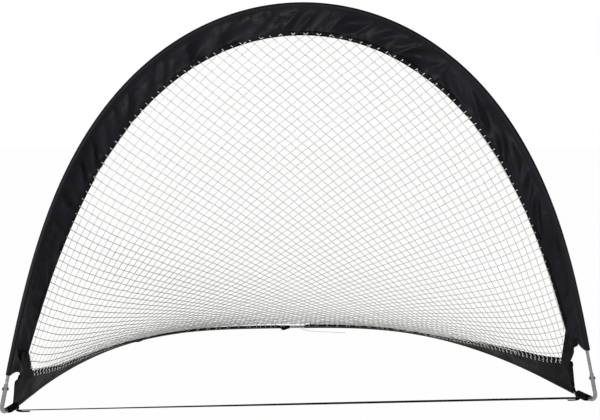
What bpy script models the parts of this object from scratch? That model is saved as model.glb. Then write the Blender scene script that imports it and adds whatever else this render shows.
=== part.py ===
"""Pop-up goal with a leaning front arch, a hoop on the ground and a net between them.

The arch and the hoop are sprung poles in black fabric sleeves. They meet in a bent steel
tube at each front corner, where a rivet lets the arch fold back over the hoop.
Metres, X to the right, Y to the back, Z up, the ground at Z = 0.
"""
import math

import bmesh
import bpy
import numpy as np
from mathutils import Matrix, Vector

# ---------------------------------------------------------------- driving dimensions
OVERALL_WIDTH = 1.83        # outside of the two corner tubes, before their bends are rounded
ARCH_RISE = 1.22            # pole centreline over the ground, measured along the arch
ARCH_LEAN = math.radians(3.16)
ARCH_STRAIGHT = 0.067       # the lowest stretch stays straight
ARCH_BEND_POWER = 1.15      # the bend grows with height to this power
HOOP_DEPTH = 1.144          # arch foot to the hoop's centreline at the back
HOOP_HALF_WIDTH = 0.8795
HOOP_SIDE_POWER = 3.37      # squareness of the hoop, across and back
HOOP_BACK_POWER = 1.54
STATIONS = 55               # sections along each sleeve

ROD_RADIUS = 0.0035
ROD_COUNT = 5               # rods in each pole, joined by ferrules
TUBE_RADIUS = 0.0050        # ferrules and arch end tubes share one tube stock
TUBE_WALL = 0.0009
FERRULE_LENGTH = 0.080
INSERTION = 0.055           # rod held inside an end tube
FIT = 0.0003                # gap between pieces that touch

ELBOW_RADIUS = 0.0065
ELBOW_WALL = 0.0011
ELBOW_BEND = 0.028          # centreline bend radius
ELBOW_MOUTH = 0.014         # tube above the rivet
LEG_LENGTH = 0.140          # elbow's leg along the ground
LEG_BLEND = 0.160           # depth where the leg's line has joined the hoop's
PIVOT_HEIGHT = 0.087        # rivet, along the arch
END_TUBE_LENGTH = 0.150
SLOT_HALF = 0.0057          # the elbow's slot, open to the back

RIVET_RADIUS = 0.0015
RIVET_HEAD_RADIUS = 0.0048
RIVET_HEAD_HEIGHT = 0.0019

FABRIC = 0.0008             # one layer of sleeve
LAYER_GAP = 0.0004          # half the space between the two layers
POCKET_RADIUS = 0.0063      # inside of the sleeve round a pole
LEG_POCKET_ROOM = 0.0018    # and between the thicker elbow leg and its pocket
LEG_POCKET_RADIUS = ELBOW_RADIUS + LEG_POCKET_ROOM
POCKET_SEAM = 0.018         # pole centre to the seam that closes the pocket
ARCH_BAND = 0.098           # pole centre to the sleeve's net edge
HOOP_BAND = 0.070
BINDING_WIDTH = 0.013
SLEEVE_FOOT = 0.135         # height where the arch sleeve stops
HOOP_FOOT = 0.100           # distance round the corner where the hoop sleeve starts
ARCH_SEAM = 0.70            # share of the arch that the long sleeve covers
REAR_GAP = 0.050            # bare pole between the hoop sleeves
REAR_STATION = 28           # where it is, a little to the right of the middle
GUSSET_START = 0.036        # the corner panel leaves the pole bare
GUSSET_THICKNESS = 0.0016

LOOP_LENGTH = 0.055
LOOP_THICKNESS = 0.0010
KNOT_RADIUS = 0.0060
TAPE_WIDTH = 0.0065
TAPE_THICKNESS = 0.0014
TAPE_TWIST = math.radians(80)

NET_BAR = 0.005
NET_COLUMNS = 3             # cells across each panel
NET_ROWS = ((2, 2), (2, 2, 2), (2, 3, 2), (2, 3, 2), (2, 2, 2), (2, 2))  # in each panel, from the arch
NET_SIDE_GAP = NET_BAR / 2 + 0.0005
RELAX_STEPS = 1000

TWINE_RADIUS = 0.0009
LASHING_TURNS = 7
LASHING_PITCH = 0.0050
TAIL_POINTS = ((0.021, -0.016), (0.030, -0.036), (0.055, -0.060), (0.095, -0.077),
               (0.145, -0.090), (0.195, -0.108))  # X and Y from the lashing's middle

FACET = math.cos(math.radians(22.5))
LEG_HEIGHT = (LEG_POCKET_RADIUS + FABRIC) * FACET
HOOP_HEIGHT = (POCKET_RADIUS + FABRIC) * FACET
CORNER_X = OVERALL_WIDTH / 2 - ELBOW_RADIUS
FRONT_Y = (ELBOW_RADIUS - HOOP_DEPTH - POCKET_RADIUS - FABRIC) / 2

BLACK_NYLON = ("black_nylon", (0.012, 0.012, 0.014), 0.72, 0.0)
BLACK_WEBBING = ("black_webbing", (0.010, 0.010, 0.011), 0.85, 0.0)
STEEL = ("zinc_plated_steel", (0.52, 0.53, 0.55), 0.34, 1.0)
DARK_STEEL = ("dark_rivet_steel", (0.10, 0.10, 0.11), 0.45, 1.0)
FIBREGLASS = ("fibreglass", (0.030, 0.030, 0.032), 0.50, 0.0)
NET_TWINE = ("white_net_twine", (0.78, 0.78, 0.77), 0.80, 0.0)
GREY_TWINE = ("grey_twine", (0.42, 0.42, 0.41), 0.85, 0.0)


# ---------------------------------------------------------------- scene helpers
def clear_scene():
    for obj in list(bpy.data.objects):
        bpy.data.objects.remove(obj, do_unlink=True)
    for name in ("PopUpGoal", "Cutters"):
        collection = bpy.data.collections.new(name)
        bpy.context.scene.collection.children.link(collection)


def material(spec):
    name, colour, roughness, metallic = spec
    found = bpy.data.materials.get(name)
    if found:
        return found
    made = bpy.data.materials.new(name)
    made.use_nodes = True
    shader = made.node_tree.nodes["Principled BSDF"]
    shader.inputs["Base Color"].default_value = (*colour, 1.0)
    shader.inputs["Roughness"].default_value = roughness
    shader.inputs["Metallic"].default_value = metallic
    return made


def add_object(name, data, spec=None, collection="PopUpGoal"):
    obj = bpy.data.objects.new(name, data)
    bpy.data.collections[collection].objects.link(obj)
    if spec:
        data.materials.append(material(spec))
    else:
        obj.hide_render = True
        obj.display_type = "WIRE"
    return obj


def mesh_from_bmesh(name, bm, spec=None, collection="PopUpGoal"):
    bmesh.ops.recalc_face_normals(bm, faces=bm.faces)
    mesh = bpy.data.meshes.new(name)
    bm.to_mesh(mesh)
    bm.free()
    return add_object(name, mesh, spec, collection)


def smooth(obj):
    obj.data.shade_smooth()
    obj.data.set_sharp_from_angle(angle=math.radians(40))


def wire(name, points, radius, sides=8, caps=True, spec=None, collection="PopUpGoal"):
    """A round bar along a polyline, as a curve made into a mesh."""
    curve = bpy.data.curves.new(name + "_path", "CURVE")
    curve.dimensions = "3D"
    curve.bevel_depth = radius
    curve.bevel_resolution = sides // 2 - 2
    curve.use_fill_caps = caps
    spline = curve.splines.new("POLY")
    spline.points.add(len(points) - 1)
    for slot, place in zip(spline.points, points):
        slot.co = (*place, 1.0)
    guide = bpy.data.objects.new(name + "_path", curve)
    bpy.data.collections["Cutters"].objects.link(guide)
    bpy.context.view_layer.update()
    mesh = bpy.data.meshes.new_from_object(guide.evaluated_get(bpy.context.evaluated_depsgraph_get()))
    bm = bmesh.new()
    bm.from_mesh(mesh)
    bmesh.ops.remove_doubles(bm, verts=bm.verts, dist=1e-6)
    bpy.data.objects.remove(guide, do_unlink=True)
    bpy.data.meshes.remove(mesh)
    obj = mesh_from_bmesh(name, bm, spec, collection)
    smooth(obj)
    return obj


def tube(name, points, radius, wall, sides, spec):
    """A hollow tube with open ends: a bare surface given its wall inwards."""
    obj = wire(name, points, radius, sides, caps=False, spec=spec)
    solid = obj.modifiers.new("Wall", "SOLIDIFY")
    solid.thickness = wall
    solid.offset = -1.0
    return obj


def rod_cutter(name, centre, axis, radius, length, sides=16):
    bm = bmesh.new()
    bmesh.ops.create_cone(bm, cap_ends=True, segments=sides, radius1=radius, radius2=radius, depth=length)
    turn = Vector((0, 0, 1)).rotation_difference(Vector(axis)).to_matrix().to_4x4()
    bmesh.ops.transform(bm, matrix=Matrix.Translation(Vector(centre)) @ turn, verts=bm.verts)
    return mesh_from_bmesh(name, bm, collection="Cutters")


def boolean(obj, other, operation):
    step = obj.modifiers.new(operation.title(), "BOOLEAN")
    step.operation = operation
    step.solver = "EXACT"
    step.object = other


def loft(name, rings, spec, order=None):
    """A closed solid through section rings that all have the same number of points.

    Each side is split along the diagonal that rises with order, so two faces of one layer
    are split alike and stay parallel where the layer twists.
    """
    bm = bmesh.new()
    rows = [[bm.verts.new(place) for place in ring] for ring in rings]
    count = len(rows[0])
    order = order or [0] * count
    for low, high in zip(rows, rows[1:]):
        for i in range(count):
            j = (i + 1) % count
            if order[i] <= order[j]:
                bm.faces.new((low[i], low[j], high[j]))
                bm.faces.new((low[i], high[j], high[i]))
            else:
                bm.faces.new((low[i], low[j], high[i]))
                bm.faces.new((low[j], high[j], high[i]))
    bm.faces.new(rows[0][::-1])
    bm.faces.new(rows[-1])
    return mesh_from_bmesh(name, bm, spec)


# ---------------------------------------------------------------- pole lines
def unit(vector):
    return vector / np.linalg.norm(vector)


class Line:
    """A polyline that is read by the distance along it."""

    def __init__(self, points):
        self.points = np.array(points)
        steps = np.linalg.norm(np.diff(self.points, axis=0), axis=1)
        self.marks = np.concatenate([[0.0], np.cumsum(steps)])
        self.length = self.marks[-1]

    def at(self, distance):
        return np.array([np.interp(distance, self.marks, self.points[:, k]) for k in range(3)])

    def along(self, distance, step=1e-4):
        return unit(self.at(min(distance + step, self.length)) - self.at(max(distance - step, 0.0)))

    def cut(self, start, end):
        inside = [p for p, m in zip(self.points, self.marks) if start + 1e-4 < m < end - 1e-4]
        return [self.at(start), *inside, self.at(end)]


def half_arch():
    """X and height down one leg: the bend grows with height, as in a pole that a tape ties."""
    step = ARCH_RISE / 400

    def run(bend):
        x, height, angle = 0.0, ARCH_RISE, 0.0
        places = [(x, height)]
        while height > 0 and angle < math.pi * 0.8:
            share = max(height - ARCH_STRAIGHT, 0.0) / ARCH_RISE
            turn = bend * share ** ARCH_BEND_POWER * step
            x += math.cos(angle + turn / 2) * step
            height -= math.sin(angle + turn / 2) * step
            angle += turn
            places.append((x, height))
        return places

    low, high = 0.5, 6.0
    for _ in range(40):
        bend = (low + high) / 2
        places = run(bend)
        if places[-1][1] > 0 or places[-1][0] < CORNER_X:
            high = bend
        else:
            low = bend
    return places


def mirrored(right_side):
    """Left foot to right foot from points that run from the middle to the right foot."""
    left_side = [(-p[0], *p[1:]) for p in right_side[::-1]]
    return left_side + list(right_side[1:])


def arch_full():
    leg = [(x, FRONT_Y + h * math.sin(ARCH_LEAN), h * math.cos(ARCH_LEAN)) for x, h in half_arch()]
    return Line(mirrored(leg))


def hoop_x(depth):
    return HOOP_HALF_WIDTH * max(1 - (depth / HOOP_DEPTH) ** HOOP_BACK_POWER, 0.0) ** (1 / HOOP_SIDE_POWER)


def hoop_plan():
    """X and depth from the back of the hoop to its foot, where the elbow's leg takes over."""
    steps = 300
    depths = [HOOP_DEPTH - (HOOP_DEPTH - LEG_BLEND) * (i / steps) ** 2 for i in range(steps + 1)]
    places = [(hoop_x(depth), depth) for depth in depths]
    joined = np.array(places[-1])
    slope = unit(joined - np.array(places[-2]))
    guide = joined + slope * LEG_BLEND * 0.6
    corner = np.array((CORNER_X, 0.0))
    for i in range(1, 41):
        t = i / 40
        places.append(tuple(joined * (1 - t) ** 2 + guide * 2 * t * (1 - t) + corner * t ** 2))
    return places


def smoothstep(value):
    value = min(max(value, 0.0), 1.0)
    return value * value * (3 - 2 * value)


def leg_share(distance_from_end):
    """One round the elbow's leg, falling to zero where only the rod is left."""
    return 1.0 - smoothstep((distance_from_end - LEG_LENGTH - 0.005) / 0.10)


def hoop_full():
    flat = Line(mirrored([(x, FRONT_Y + depth, 0.0) for x, depth in hoop_plan()]))
    points = []
    for place, mark in zip(flat.points, flat.marks):
        share = leg_share(min(mark, flat.length - mark))
        points.append((place[0], place[1], HOOP_HEIGHT + (LEG_HEIGHT - HOOP_HEIGHT) * share))
    return Line(points)


def with_stations(line, start, end):
    """The line with its middle part redrawn as straight runs between evenly spaced stations."""
    marks = np.linspace(start, end, STATIONS)
    head = [p for p, m in zip(line.points, line.marks) if m < start - 1e-4]
    tail = [p for p, m in zip(line.points, line.marks) if m > end + 1e-4]
    stations = [line.at(m) for m in marks]
    return Line(head + stations + tail), np.array(stations)


# ---------------------------------------------------------------- net surface
def relaxed(top, bottom, rows=25):
    """A taut net: each inner knot rests between its neighbours, weighed by their spacing."""
    share = np.linspace(0, 1, rows)[:, None, None]
    grid = top[None] * (1 - share) + bottom[None] * share
    for _ in range(RELAX_STEPS):
        across = np.linalg.norm(grid[:, 2:] - grid[:, :-2], axis=2)[1:-1]
        down = np.linalg.norm(grid[2:] - grid[:-2], axis=2)[:, 1:-1]
        weight_a = (1 / across ** 2)[..., None]
        weight_d = (1 / down ** 2)[..., None]
        total = weight_a * (grid[1:-1, 2:] + grid[1:-1, :-2]) + weight_d * (grid[2:, 1:-1] + grid[:-2, 1:-1])
        grid[1:-1, 1:-1] = total / (2 * (weight_a + weight_d))
    return grid


def point_on_column(column, distance):
    steps = np.linalg.norm(np.diff(column, axis=0), axis=1)
    marks = np.concatenate([[0.0], np.cumsum(steps)])
    return np.array([np.interp(distance, marks, column[:, k]) for k in range(3)])


def band_frames(stations, columns, width):
    """Tangent, band direction and normal at each station."""
    frames = []
    for i, place in enumerate(stations):
        tangent = unit(stations[min(i + 1, len(stations) - 1)] - stations[max(i - 1, 0)])
        reach = point_on_column(columns[i], width) - place
        band = unit(reach - tangent * np.dot(reach, tangent))
        frames.append((tangent, band, np.cross(tangent, band)))
    return frames


# ---------------------------------------------------------------- sleeve sections
def pocket_ring(centre, side, up, tilt, angles, radius, width):
    """A folded strip: round the pole, then two layers side by side out to its net edge."""
    band = side * math.cos(tilt) + up * math.sin(tilt)
    normal = up * math.cos(tilt) - side * math.sin(tilt)

    def flat(distance, height):
        return centre + band * distance + normal * height

    def round_pole(reach):
        return [centre + reach * (side * math.cos(a) + up * math.sin(a)) for a in angles]

    inner_face = LAYER_GAP
    outer_face = LAYER_GAP + FABRIC
    def layer(face, reach):
        tape = width - BINDING_WIDTH
        return [flat(width, face), flat(tape, face), flat(POCKET_SEAM, face), *round_pole(reach),
                flat(POCKET_SEAM, -face), flat(tape, -face), flat(width, -face)]

    return layer(LAYER_GAP, radius) + layer(LAYER_GAP + FABRIC, radius + FABRIC)[::-1]


def sleeve_order(count):
    """The ring's points numbered outwards from the pole, for loft."""
    half = count // 2
    return [abs(i % half - (half - 1) / 2) for i in range(count)]


def arch_ring(place, frame):
    _, band, normal = frame
    angles = [math.radians(a) for a in (55, 97, 139, 180, 221, 263, 305)]
    return pocket_ring(place, band, normal, 0.0, angles, POCKET_RADIUS, ARCH_BAND - FABRIC - FIT)


def hoop_ring(place, frame):
    """The pocket keeps one facet flat on the ground, whatever way the band points."""
    tangent, band, _ = frame
    up = np.array((0.0, 0.0, 1.0))
    side = unit(np.cross(tangent, up)) * math.copysign(1.0, np.dot(np.cross(tangent, up), band))
    tilt = math.atan2(np.dot(band, up), np.dot(band, side))
    degrees = math.degrees(tilt)
    angles = [degrees + 55, (degrees + 215) / 2, 160, 205, 247.5, 292.5, degrees / 2 + 298.75, degrees + 305]
    radius = place[2] / FACET - FABRIC
    ring = pocket_ring(place, side, up, tilt, [math.radians(a) for a in angles], radius,
                       HOOP_BAND - FABRIC - FIT)
    return ring


def binding_ring(place, frame, width):
    """A tape folded over the net edge of both layers."""
    _, band, normal = frame
    inner_face = LAYER_GAP + FABRIC + FIT
    outer_face = inner_face + FABRIC
    fold = width - FABRIC
    start = fold - FIT - BINDING_WIDTH
    outline = ((start, inner_face), (fold, inner_face), (fold, -inner_face), (start, -inner_face),
               (start, -outer_face), (width, -outer_face), (width, outer_face), (start, outer_face))
    return [place + band * t + normal * n for t, n in outline]


def span(name, stations, frames, section, order, first, last, spec, trim_first=0.0, trim_last=0.0):
    """A loft through the stations from first to last, with its ends drawn back."""
    rings = [np.array(section(stations[i], frames[i])) for i in range(first, last + 1)]
    first_step = np.linalg.norm(stations[first + 1] - stations[first])
    last_step = np.linalg.norm(stations[last] - stations[last - 1])
    rings[0] += (rings[1] - rings[0]) * trim_first / first_step
    rings[-1] += (rings[-2] - rings[-1]) * trim_last / last_step
    return loft(name, rings, spec, order)


# ---------------------------------------------------------------- the frame's pieces
def pole(prefix, line, start, end):
    """Rods end to end from start to end, and a ferrule over each joint."""
    joints = np.linspace(start, end, ROD_COUNT + 1)
    for i in range(ROD_COUNT):
        first = joints[i] + (FIT / 2 if i else 0.0)
        last = joints[i + 1] - (FIT / 2 if i < ROD_COUNT - 1 else 0.0)
        wire(f"{prefix}_rod_{i + 1}", line.cut(first, last), ROD_RADIUS, 6, spec=FIBREGLASS)
    for i, joint in enumerate(joints[1:-1]):
        path = line.cut(joint - FERRULE_LENGTH / 2, joint + FERRULE_LENGTH / 2)
        tube(f"{prefix}_ferrule_{i + 1}", path, TUBE_RADIUS, TUBE_WALL, 8, STEEL)


def fillet(before, corner, after, radius, steps=8):
    """Points of an arc that rounds the corner between two straight runs."""
    into = unit(before - corner)
    out = unit(after - corner)
    half = math.acos(float(np.dot(into, out))) / 2
    centre = corner + unit(into + out) * radius / math.sin(half)
    reach = radius / math.tan(half)
    start = corner + into * reach - centre
    end = corner + out * reach - centre
    swing = math.pi - 2 * half
    points = []
    for i in range(steps + 1):
        t = i / steps
        mix = start * math.sin((1 - t) * swing) + end * math.sin(t * swing)
        points.append(centre + mix / math.sin(swing))
    return points


def elbow_path(side, arch, hoop):
    """From the mouth over the rivet, round the bend and back along the ground (left corner)."""
    flip = np.array((side, 1.0, 1.0))
    mouth = arch.at(PIVOT_HEIGHT + ELBOW_MOUTH)
    low = arch.at(0.045)
    corner = np.array((hoop.at(0.0)[0], FRONT_Y, LEG_HEIGHT))
    leg = [hoop.at(d) for d in np.linspace(0.045, LEG_LENGTH, 7)]
    bend = fillet(low, corner, leg[0], ELBOW_BEND)
    return [p * flip for p in [mouth, low, *bend, *leg]]


def end_tube(name, arch, flip, sides=12):
    """Round-ended at the rivet, and bored from the top for the rod."""
    top = PIVOT_HEIGHT + END_TUBE_LENGTH

    def ring(distance, radius, lower=0.0):
        tangent = arch.along(distance, 0.004)
        side = unit(np.cross(tangent, (0.0, 1.0, 0.0)))
        back = np.cross(side, tangent)
        centre = arch.at(distance) - tangent * lower
        turns = [2 * math.pi * (i + 0.5) / sides for i in range(sides)]
        return [(centre + radius * (side * math.cos(a) + back * math.sin(a))) * flip for a in turns]

    rings = []
    for degrees in (12, 35, 60):
        a = math.radians(degrees)
        rings.append(ring(PIVOT_HEIGHT, TUBE_RADIUS * math.sin(a), TUBE_RADIUS * math.cos(a)))
    outside = [PIVOT_HEIGHT, (PIVOT_HEIGHT + top - INSERTION) / 2, top - INSERTION, top - INSERTION / 2, top]
    rings += [ring(d, TUBE_RADIUS) for d in outside]
    rings += [ring(d, TUBE_RADIUS - TUBE_WALL) for d in (top, top - INSERTION / 2, top - INSERTION - 0.004)]
    obj = loft(name, rings, STEEL)
    smooth(obj)
    return obj


def corner_hardware(name, side, arch, hoop):
    """Bent tube, rivet and arch end tube of one corner; side is 1 on the left, -1 on the right."""
    flip = np.array((side, 1.0, 1.0))
    pivot = arch.at(PIVOT_HEIGHT) * flip
    lean = arch.along(PIVOT_HEIGHT + 0.02) * flip
    elbow = tube(f"corner_elbow_{name}", elbow_path(side, arch, hoop), ELBOW_RADIUS, ELBOW_WALL, 10, STEEL)
    slot_height = ELBOW_MOUTH + SLOT_HALF + 0.004
    slot = bmesh.new()
    bmesh.ops.create_cube(slot, size=1.0)
    size = Matrix.Diagonal((2 * SLOT_HALF, 0.03, slot_height, 1.0))
    turn = Vector((0, 0, 1)).rotation_difference(Vector(lean)).to_matrix().to_4x4()
    shift = Matrix.Translation((0, 0.015, slot_height / 2 - SLOT_HALF))
    bmesh.ops.transform(slot, matrix=Matrix.Translation(Vector(pivot)) @ turn @ shift @ size, verts=slot.verts)
    boolean(elbow, mesh_from_bmesh(f"slot_{name}", slot, collection="Cutters"), "DIFFERENCE")
    hole_radius = RIVET_RADIUS + 0.00025
    boolean(elbow, rod_cutter(f"ear_hole_{name}", pivot, (1, 0, 0), hole_radius, 0.03), "DIFFERENCE")

    bar = end_tube(f"arch_end_tube_{name}", arch, flip)
    boolean(bar, rod_cutter(f"tube_hole_{name}", pivot, (1, 0, 0), hole_radius, 0.03), "DIFFERENCE")

    slant = abs(lean[0]) / lean[2]
    seat = ELBOW_RADIUS * math.hypot(1, slant) + RIVET_HEAD_RADIUS * slant + FIT
    profile = ((seat + RIVET_HEAD_HEIGHT, 0.0), (seat + RIVET_HEAD_HEIGHT, 0.55 * RIVET_HEAD_RADIUS),
               (seat + 0.5 * RIVET_HEAD_HEIGHT, RIVET_HEAD_RADIUS), (seat, RIVET_HEAD_RADIUS),
               (seat, RIVET_RADIUS))
    outline = [*profile, *[(-x, r) for x, r in profile[::-1]]]
    bm = bmesh.new()
    verts = [bm.verts.new((x, 0.0, r)) for x, r in outline]
    edges = [bm.edges.new(pair) for pair in zip(verts, verts[1:])]
    bmesh.ops.spin(bm, geom=verts + edges, cent=(0, 0, 0), axis=(1, 0, 0), angle=2 * math.pi, steps=16,
                   use_merge=True)
    bmesh.ops.remove_doubles(bm, verts=bm.verts, dist=1e-6)
    bmesh.ops.transform(bm, matrix=Matrix.Translation(Vector(pivot)), verts=bm.verts)
    smooth(mesh_from_bmesh(f"pivot_rivet_{name}", bm, DARK_STEEL))


def corner_ties(name, side, hoop):
    """Webbing wound round the elbow's leg, and the knot that ties the front tape to it."""
    flip = np.array((side, 1.0, 1.0))
    end = HOOP_FOOT - 3 * FIT
    start = end - LOOP_LENGTH
    path = [hoop.at(d) * flip for d in np.linspace(start, end, 5)]
    radius = ELBOW_RADIUS + 2 * FIT + LOOP_THICKNESS
    tube(f"corner_loop_{name}", path, radius, LOOP_THICKNESS, 12, BLACK_WEBBING)
    leg = hoop.at(start + LOOP_LENGTH * 0.35)
    knot = bmesh.new()
    bmesh.ops.create_uvsphere(knot, u_segments=12, v_segments=8, radius=KNOT_RADIUS)
    centre = (leg[0] + radius + 2 * FIT + KNOT_RADIUS, leg[1], LEG_HEIGHT)
    bmesh.ops.transform(knot, matrix=Matrix.Translation(Vector(centre) * Vector(flip)), verts=knot.verts)
    smooth(mesh_from_bmesh(f"tape_knot_{name}", knot, BLACK_WEBBING))
    return np.array(centre) + np.array((KNOT_RADIUS + FIT, 0.0, 0.0))


def front_tape(left_end):
    """A taut flat tape that turns slowly from lying flat on the left to standing on the right."""
    steps = 24
    rings = []
    for i in range(steps + 1):
        t = i / steps
        angle = TAPE_TWIST * smoothstep(t)
        centre = left_end * np.array((1 - 2 * t, 1.0, 1.0))
        wide = np.array((0.0, math.cos(angle), math.sin(angle))) * TAPE_WIDTH / 2
        thin = np.array((0.0, -math.sin(angle), math.cos(angle))) * TAPE_THICKNESS / 2
        rings.append([centre + wide + thin, centre - wide + thin, centre - wide - thin, centre + wide - thin])
    loft("front_tape", rings, BLACK_WEBBING, order=[1, 0, 0, 1])


def corner_gusset(name, side, arch_place, arch_frame, hoop_place, hoop_frame):
    """The fabric panel that joins the two sleeves behind the bare corner tube."""
    flip = np.array((side, 1.0, 1.0))
    down = -arch_frame[0] * FIT
    front = -hoop_frame[0] * FIT
    top = [arch_place + arch_frame[1] * t + down for t in (GUSSET_START, ARCH_BAND - 2 * FIT)]
    low = [hoop_place + hoop_frame[1] * t + front for t in (LEG_POCKET_RADIUS + 0.004, HOOP_BAND - 2 * FIT)]
    hoop_normal = hoop_frame[2] * math.copysign(1.0, np.dot(arch_frame[2], hoop_frame[2]))
    rings = []
    steps = 4
    for i in range(steps + 1):
        t = i / steps
        edge_a = top[0] * (1 - t) + low[0] * t
        edge_b = top[1] * (1 - t) + low[1] * t
        normal = unit(arch_frame[2] * (1 - t) + hoop_normal * t) * GUSSET_THICKNESS / 2
        rings.append([p * flip for p in (edge_a + normal, edge_b + normal, edge_b - normal, edge_a - normal)])
    loft(f"corner_gusset_{name}", rings, BLACK_NYLON, order=[0, 1, 1, 0])


# ---------------------------------------------------------------- net and twine
def net_panel(name, corners):
    """Diamond cells between four edges, drawn out as bars; corners is a grid of points."""
    bm = bmesh.new()
    grid = [[bm.verts.new(place) for place in line] for line in corners]
    for low, high in zip(grid, grid[1:]):
        for i in range(len(low) - 1):
            bm.faces.new((low[i], low[i + 1], high[i + 1], high[i]))
    inner = [e for e in bm.edges if not e.is_boundary]
    bmesh.ops.poke(bm, faces=bm.faces[:])
    bmesh.ops.dissolve_edges(bm, edges=inner, use_verts=False)
    obj = mesh_from_bmesh(name, bm, NET_TWINE)
    bars = obj.modifiers.new("Bars", "WIREFRAME")
    bars.thickness = NET_BAR
    bars.offset = 0.0
    bars.use_even_offset = False
    bars.use_boundary = True
    bars.use_replace = True
    return obj


def net(arch_edge, hoop_edge):
    surface = relaxed(arch_edge, hoop_edge)
    stations_per_column = (STATIONS - 1) // (NET_COLUMNS * len(NET_ROWS))
    for k, panels in enumerate(NET_ROWS):
        first = k * NET_COLUMNS * stations_per_column
        picks = [first + c * stations_per_column for c in range(NET_COLUMNS + 1)]
        picks = [min(max(pick, 1), STATIONS - 2) for pick in picks]  # clear of the sharp corner
        columns = [surface[:, pick].copy() for pick in picks]
        for edge, inward in ((0, 1), (-1, -2)):
            toward = columns[inward] - columns[edge]
            columns[edge] += toward / np.linalg.norm(toward, axis=1)[:, None] * NET_SIDE_GAP
        done = 0
        for n, rows in enumerate(panels):
            top, low = done / sum(panels), (done + rows) / sum(panels)
            lines = [Line(column) for column in columns]
            corners = []
            for r in range(rows + 1):
                share = top + (low - top) * r / rows
                inset = NET_SIDE_GAP * ((r == 0 and n > 0) - (r == rows and n < len(panels) - 1))
                corners.append([line.at(share * line.length + inset) for line in lines])
            net_panel(f"net_panel_{k + 1}{'abc'[n]}", corners)
            done += rows


def rear_lashing(middle, along):
    """Twine wound round the bare pole, and its loose end along the ground inside the goal."""
    up = np.array((0.0, 0.0, 1.0))
    back = np.cross(up, along)
    radius = ROD_RADIUS + FIT + TWINE_RADIUS + 0.0002
    turns = []
    per_turn = 8
    steps = LASHING_TURNS * per_turn
    for i in range(steps + 1):
        angle = 2 * math.pi * i / per_turn
        reach = (i / steps - 0.5) * LASHING_TURNS * LASHING_PITCH
        turns.append(middle + along * reach + radius * (back * math.sin(angle) - up * math.cos(angle)))
    wire("rear_lashing", turns, TWINE_RADIUS, 6, spec=GREY_TWINE)
    apart = [np.linalg.norm(a - b) for i, a in enumerate(turns) for b in turns[i + per_turn // 2:]]
    print("least gap between the lashing's turns, mm:", round((min(apart) - 2 * TWINE_RADIUS) * 1000, 2))

    low = TWINE_RADIUS + 0.0002
    end = LASHING_TURNS * LASHING_PITCH / 2 + 2 * TWINE_RADIUS + FIT
    knots = [middle + along * end - up * radius]
    knots += [np.array((middle[0] + x, middle[1] + y, low)) for x, y in TAIL_POINTS]
    wire("lashing_tail", smooth_path(knots, 5), TWINE_RADIUS, 6, spec=GREY_TWINE)


def smooth_path(knots, steps):
    """A Catmull-Rom curve through the knots."""
    padded = [2 * knots[0] - knots[1], *knots, 2 * knots[-1] - knots[-2]]
    points = []
    for a, b, c, d in zip(padded, padded[1:], padded[2:], padded[3:]):
        for i in range(steps):
            t = i / steps
            points.append(0.5 * (2 * b + (c - a) * t + (2 * a - 5 * b + 4 * c - d) * t ** 2
                                 + (3 * b - a - 3 * c + d) * t ** 3))
    return [*points, knots[-1]]


# ---------------------------------------------------------------- assembly
def build():
    clear_scene()
    arch = arch_full()
    foot = SLEEVE_FOOT / arch.along(SLEEVE_FOOT)[2]
    arch, arch_stations = with_stations(arch, foot, arch.length - foot)
    hoop, hoop_stations = with_stations(hoop_full(), HOOP_FOOT, hoop_full().length - HOOP_FOOT)

    between = relaxed(arch_stations, hoop_stations)
    down = [between[:, i] for i in range(STATIONS)]
    arch_frames = band_frames(arch_stations, down, ARCH_BAND)
    hoop_frames = band_frames(hoop_stations, [column[::-1] for column in down], HOOP_BAND)

    for name, side in (("left", 1.0), ("right", -1.0)):
        corner_hardware(name, side, arch, hoop)
        tape_end = corner_ties(name, side, hoop)
        corner_gusset(name, side, arch_stations[0], arch_frames[0], hoop_stations[0], hoop_frames[0])
    front_tape(tape_end)

    arch_start = PIVOT_HEIGHT + END_TUBE_LENGTH - INSERTION
    pole("arch", arch, arch_start, arch.length - arch_start)
    hoop_start = LEG_LENGTH - INSERTION
    pole("base", hoop, hoop_start, hoop.length - hoop_start)

    last = STATIONS - 1
    seam = round(ARCH_SEAM * last)
    fold_order = [0, 1, 1, 0, 0, 1, 1, 0]
    for name, first, end, trims in (("left", 0, seam, (0.0, FIT)), ("right", seam, last, (0.0, 0.0))):
        span(f"arch_sleeve_{name}", arch_stations, arch_frames, arch_ring, sleeve_order(26), first, end,
             BLACK_NYLON, *trims)
        span(f"arch_binding_{name}", arch_stations, arch_frames, lambda p, f: binding_ring(p, f, ARCH_BAND),
             fold_order, first, end, BLACK_WEBBING, *trims)
    gap = REAR_GAP / 2
    for name, first, end, trims in (("left", 0, REAR_STATION, (0.0, gap)),
                                    ("right", REAR_STATION, last, (gap, 0.0))):
        span(f"base_sleeve_{name}", hoop_stations, hoop_frames, hoop_ring, sleeve_order(28), first, end,
             BLACK_NYLON, *trims)
        seam_trims = tuple(min(trim, FIT) for trim in trims)
        span(f"base_binding_{name}", hoop_stations, hoop_frames, lambda p, f: binding_ring(p, f, HOOP_BAND),
             fold_order, first, end, BLACK_WEBBING, *seam_trims)

    edges = [NET_BAR / 2 + FIT + 0.002 * max(1 - min(i, last - i) / 6, 0.0) for i in range(STATIONS)]
    arch_edge = np.array([p + f[1] * (ARCH_BAND + e) for p, f, e in zip(arch_stations, arch_frames, edges)])
    hoop_edge = np.array([p + f[1] * (HOOP_BAND + e) for p, f, e in zip(hoop_stations, hoop_frames, edges)])
    net(arch_edge, hoop_edge)
    rear_lashing(hoop_stations[REAR_STATION], hoop_frames[REAR_STATION][0])
    print("pivot", np.round(arch.at(PIVOT_HEIGHT), 5), "front", round(FRONT_Y, 5))


build()
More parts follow.
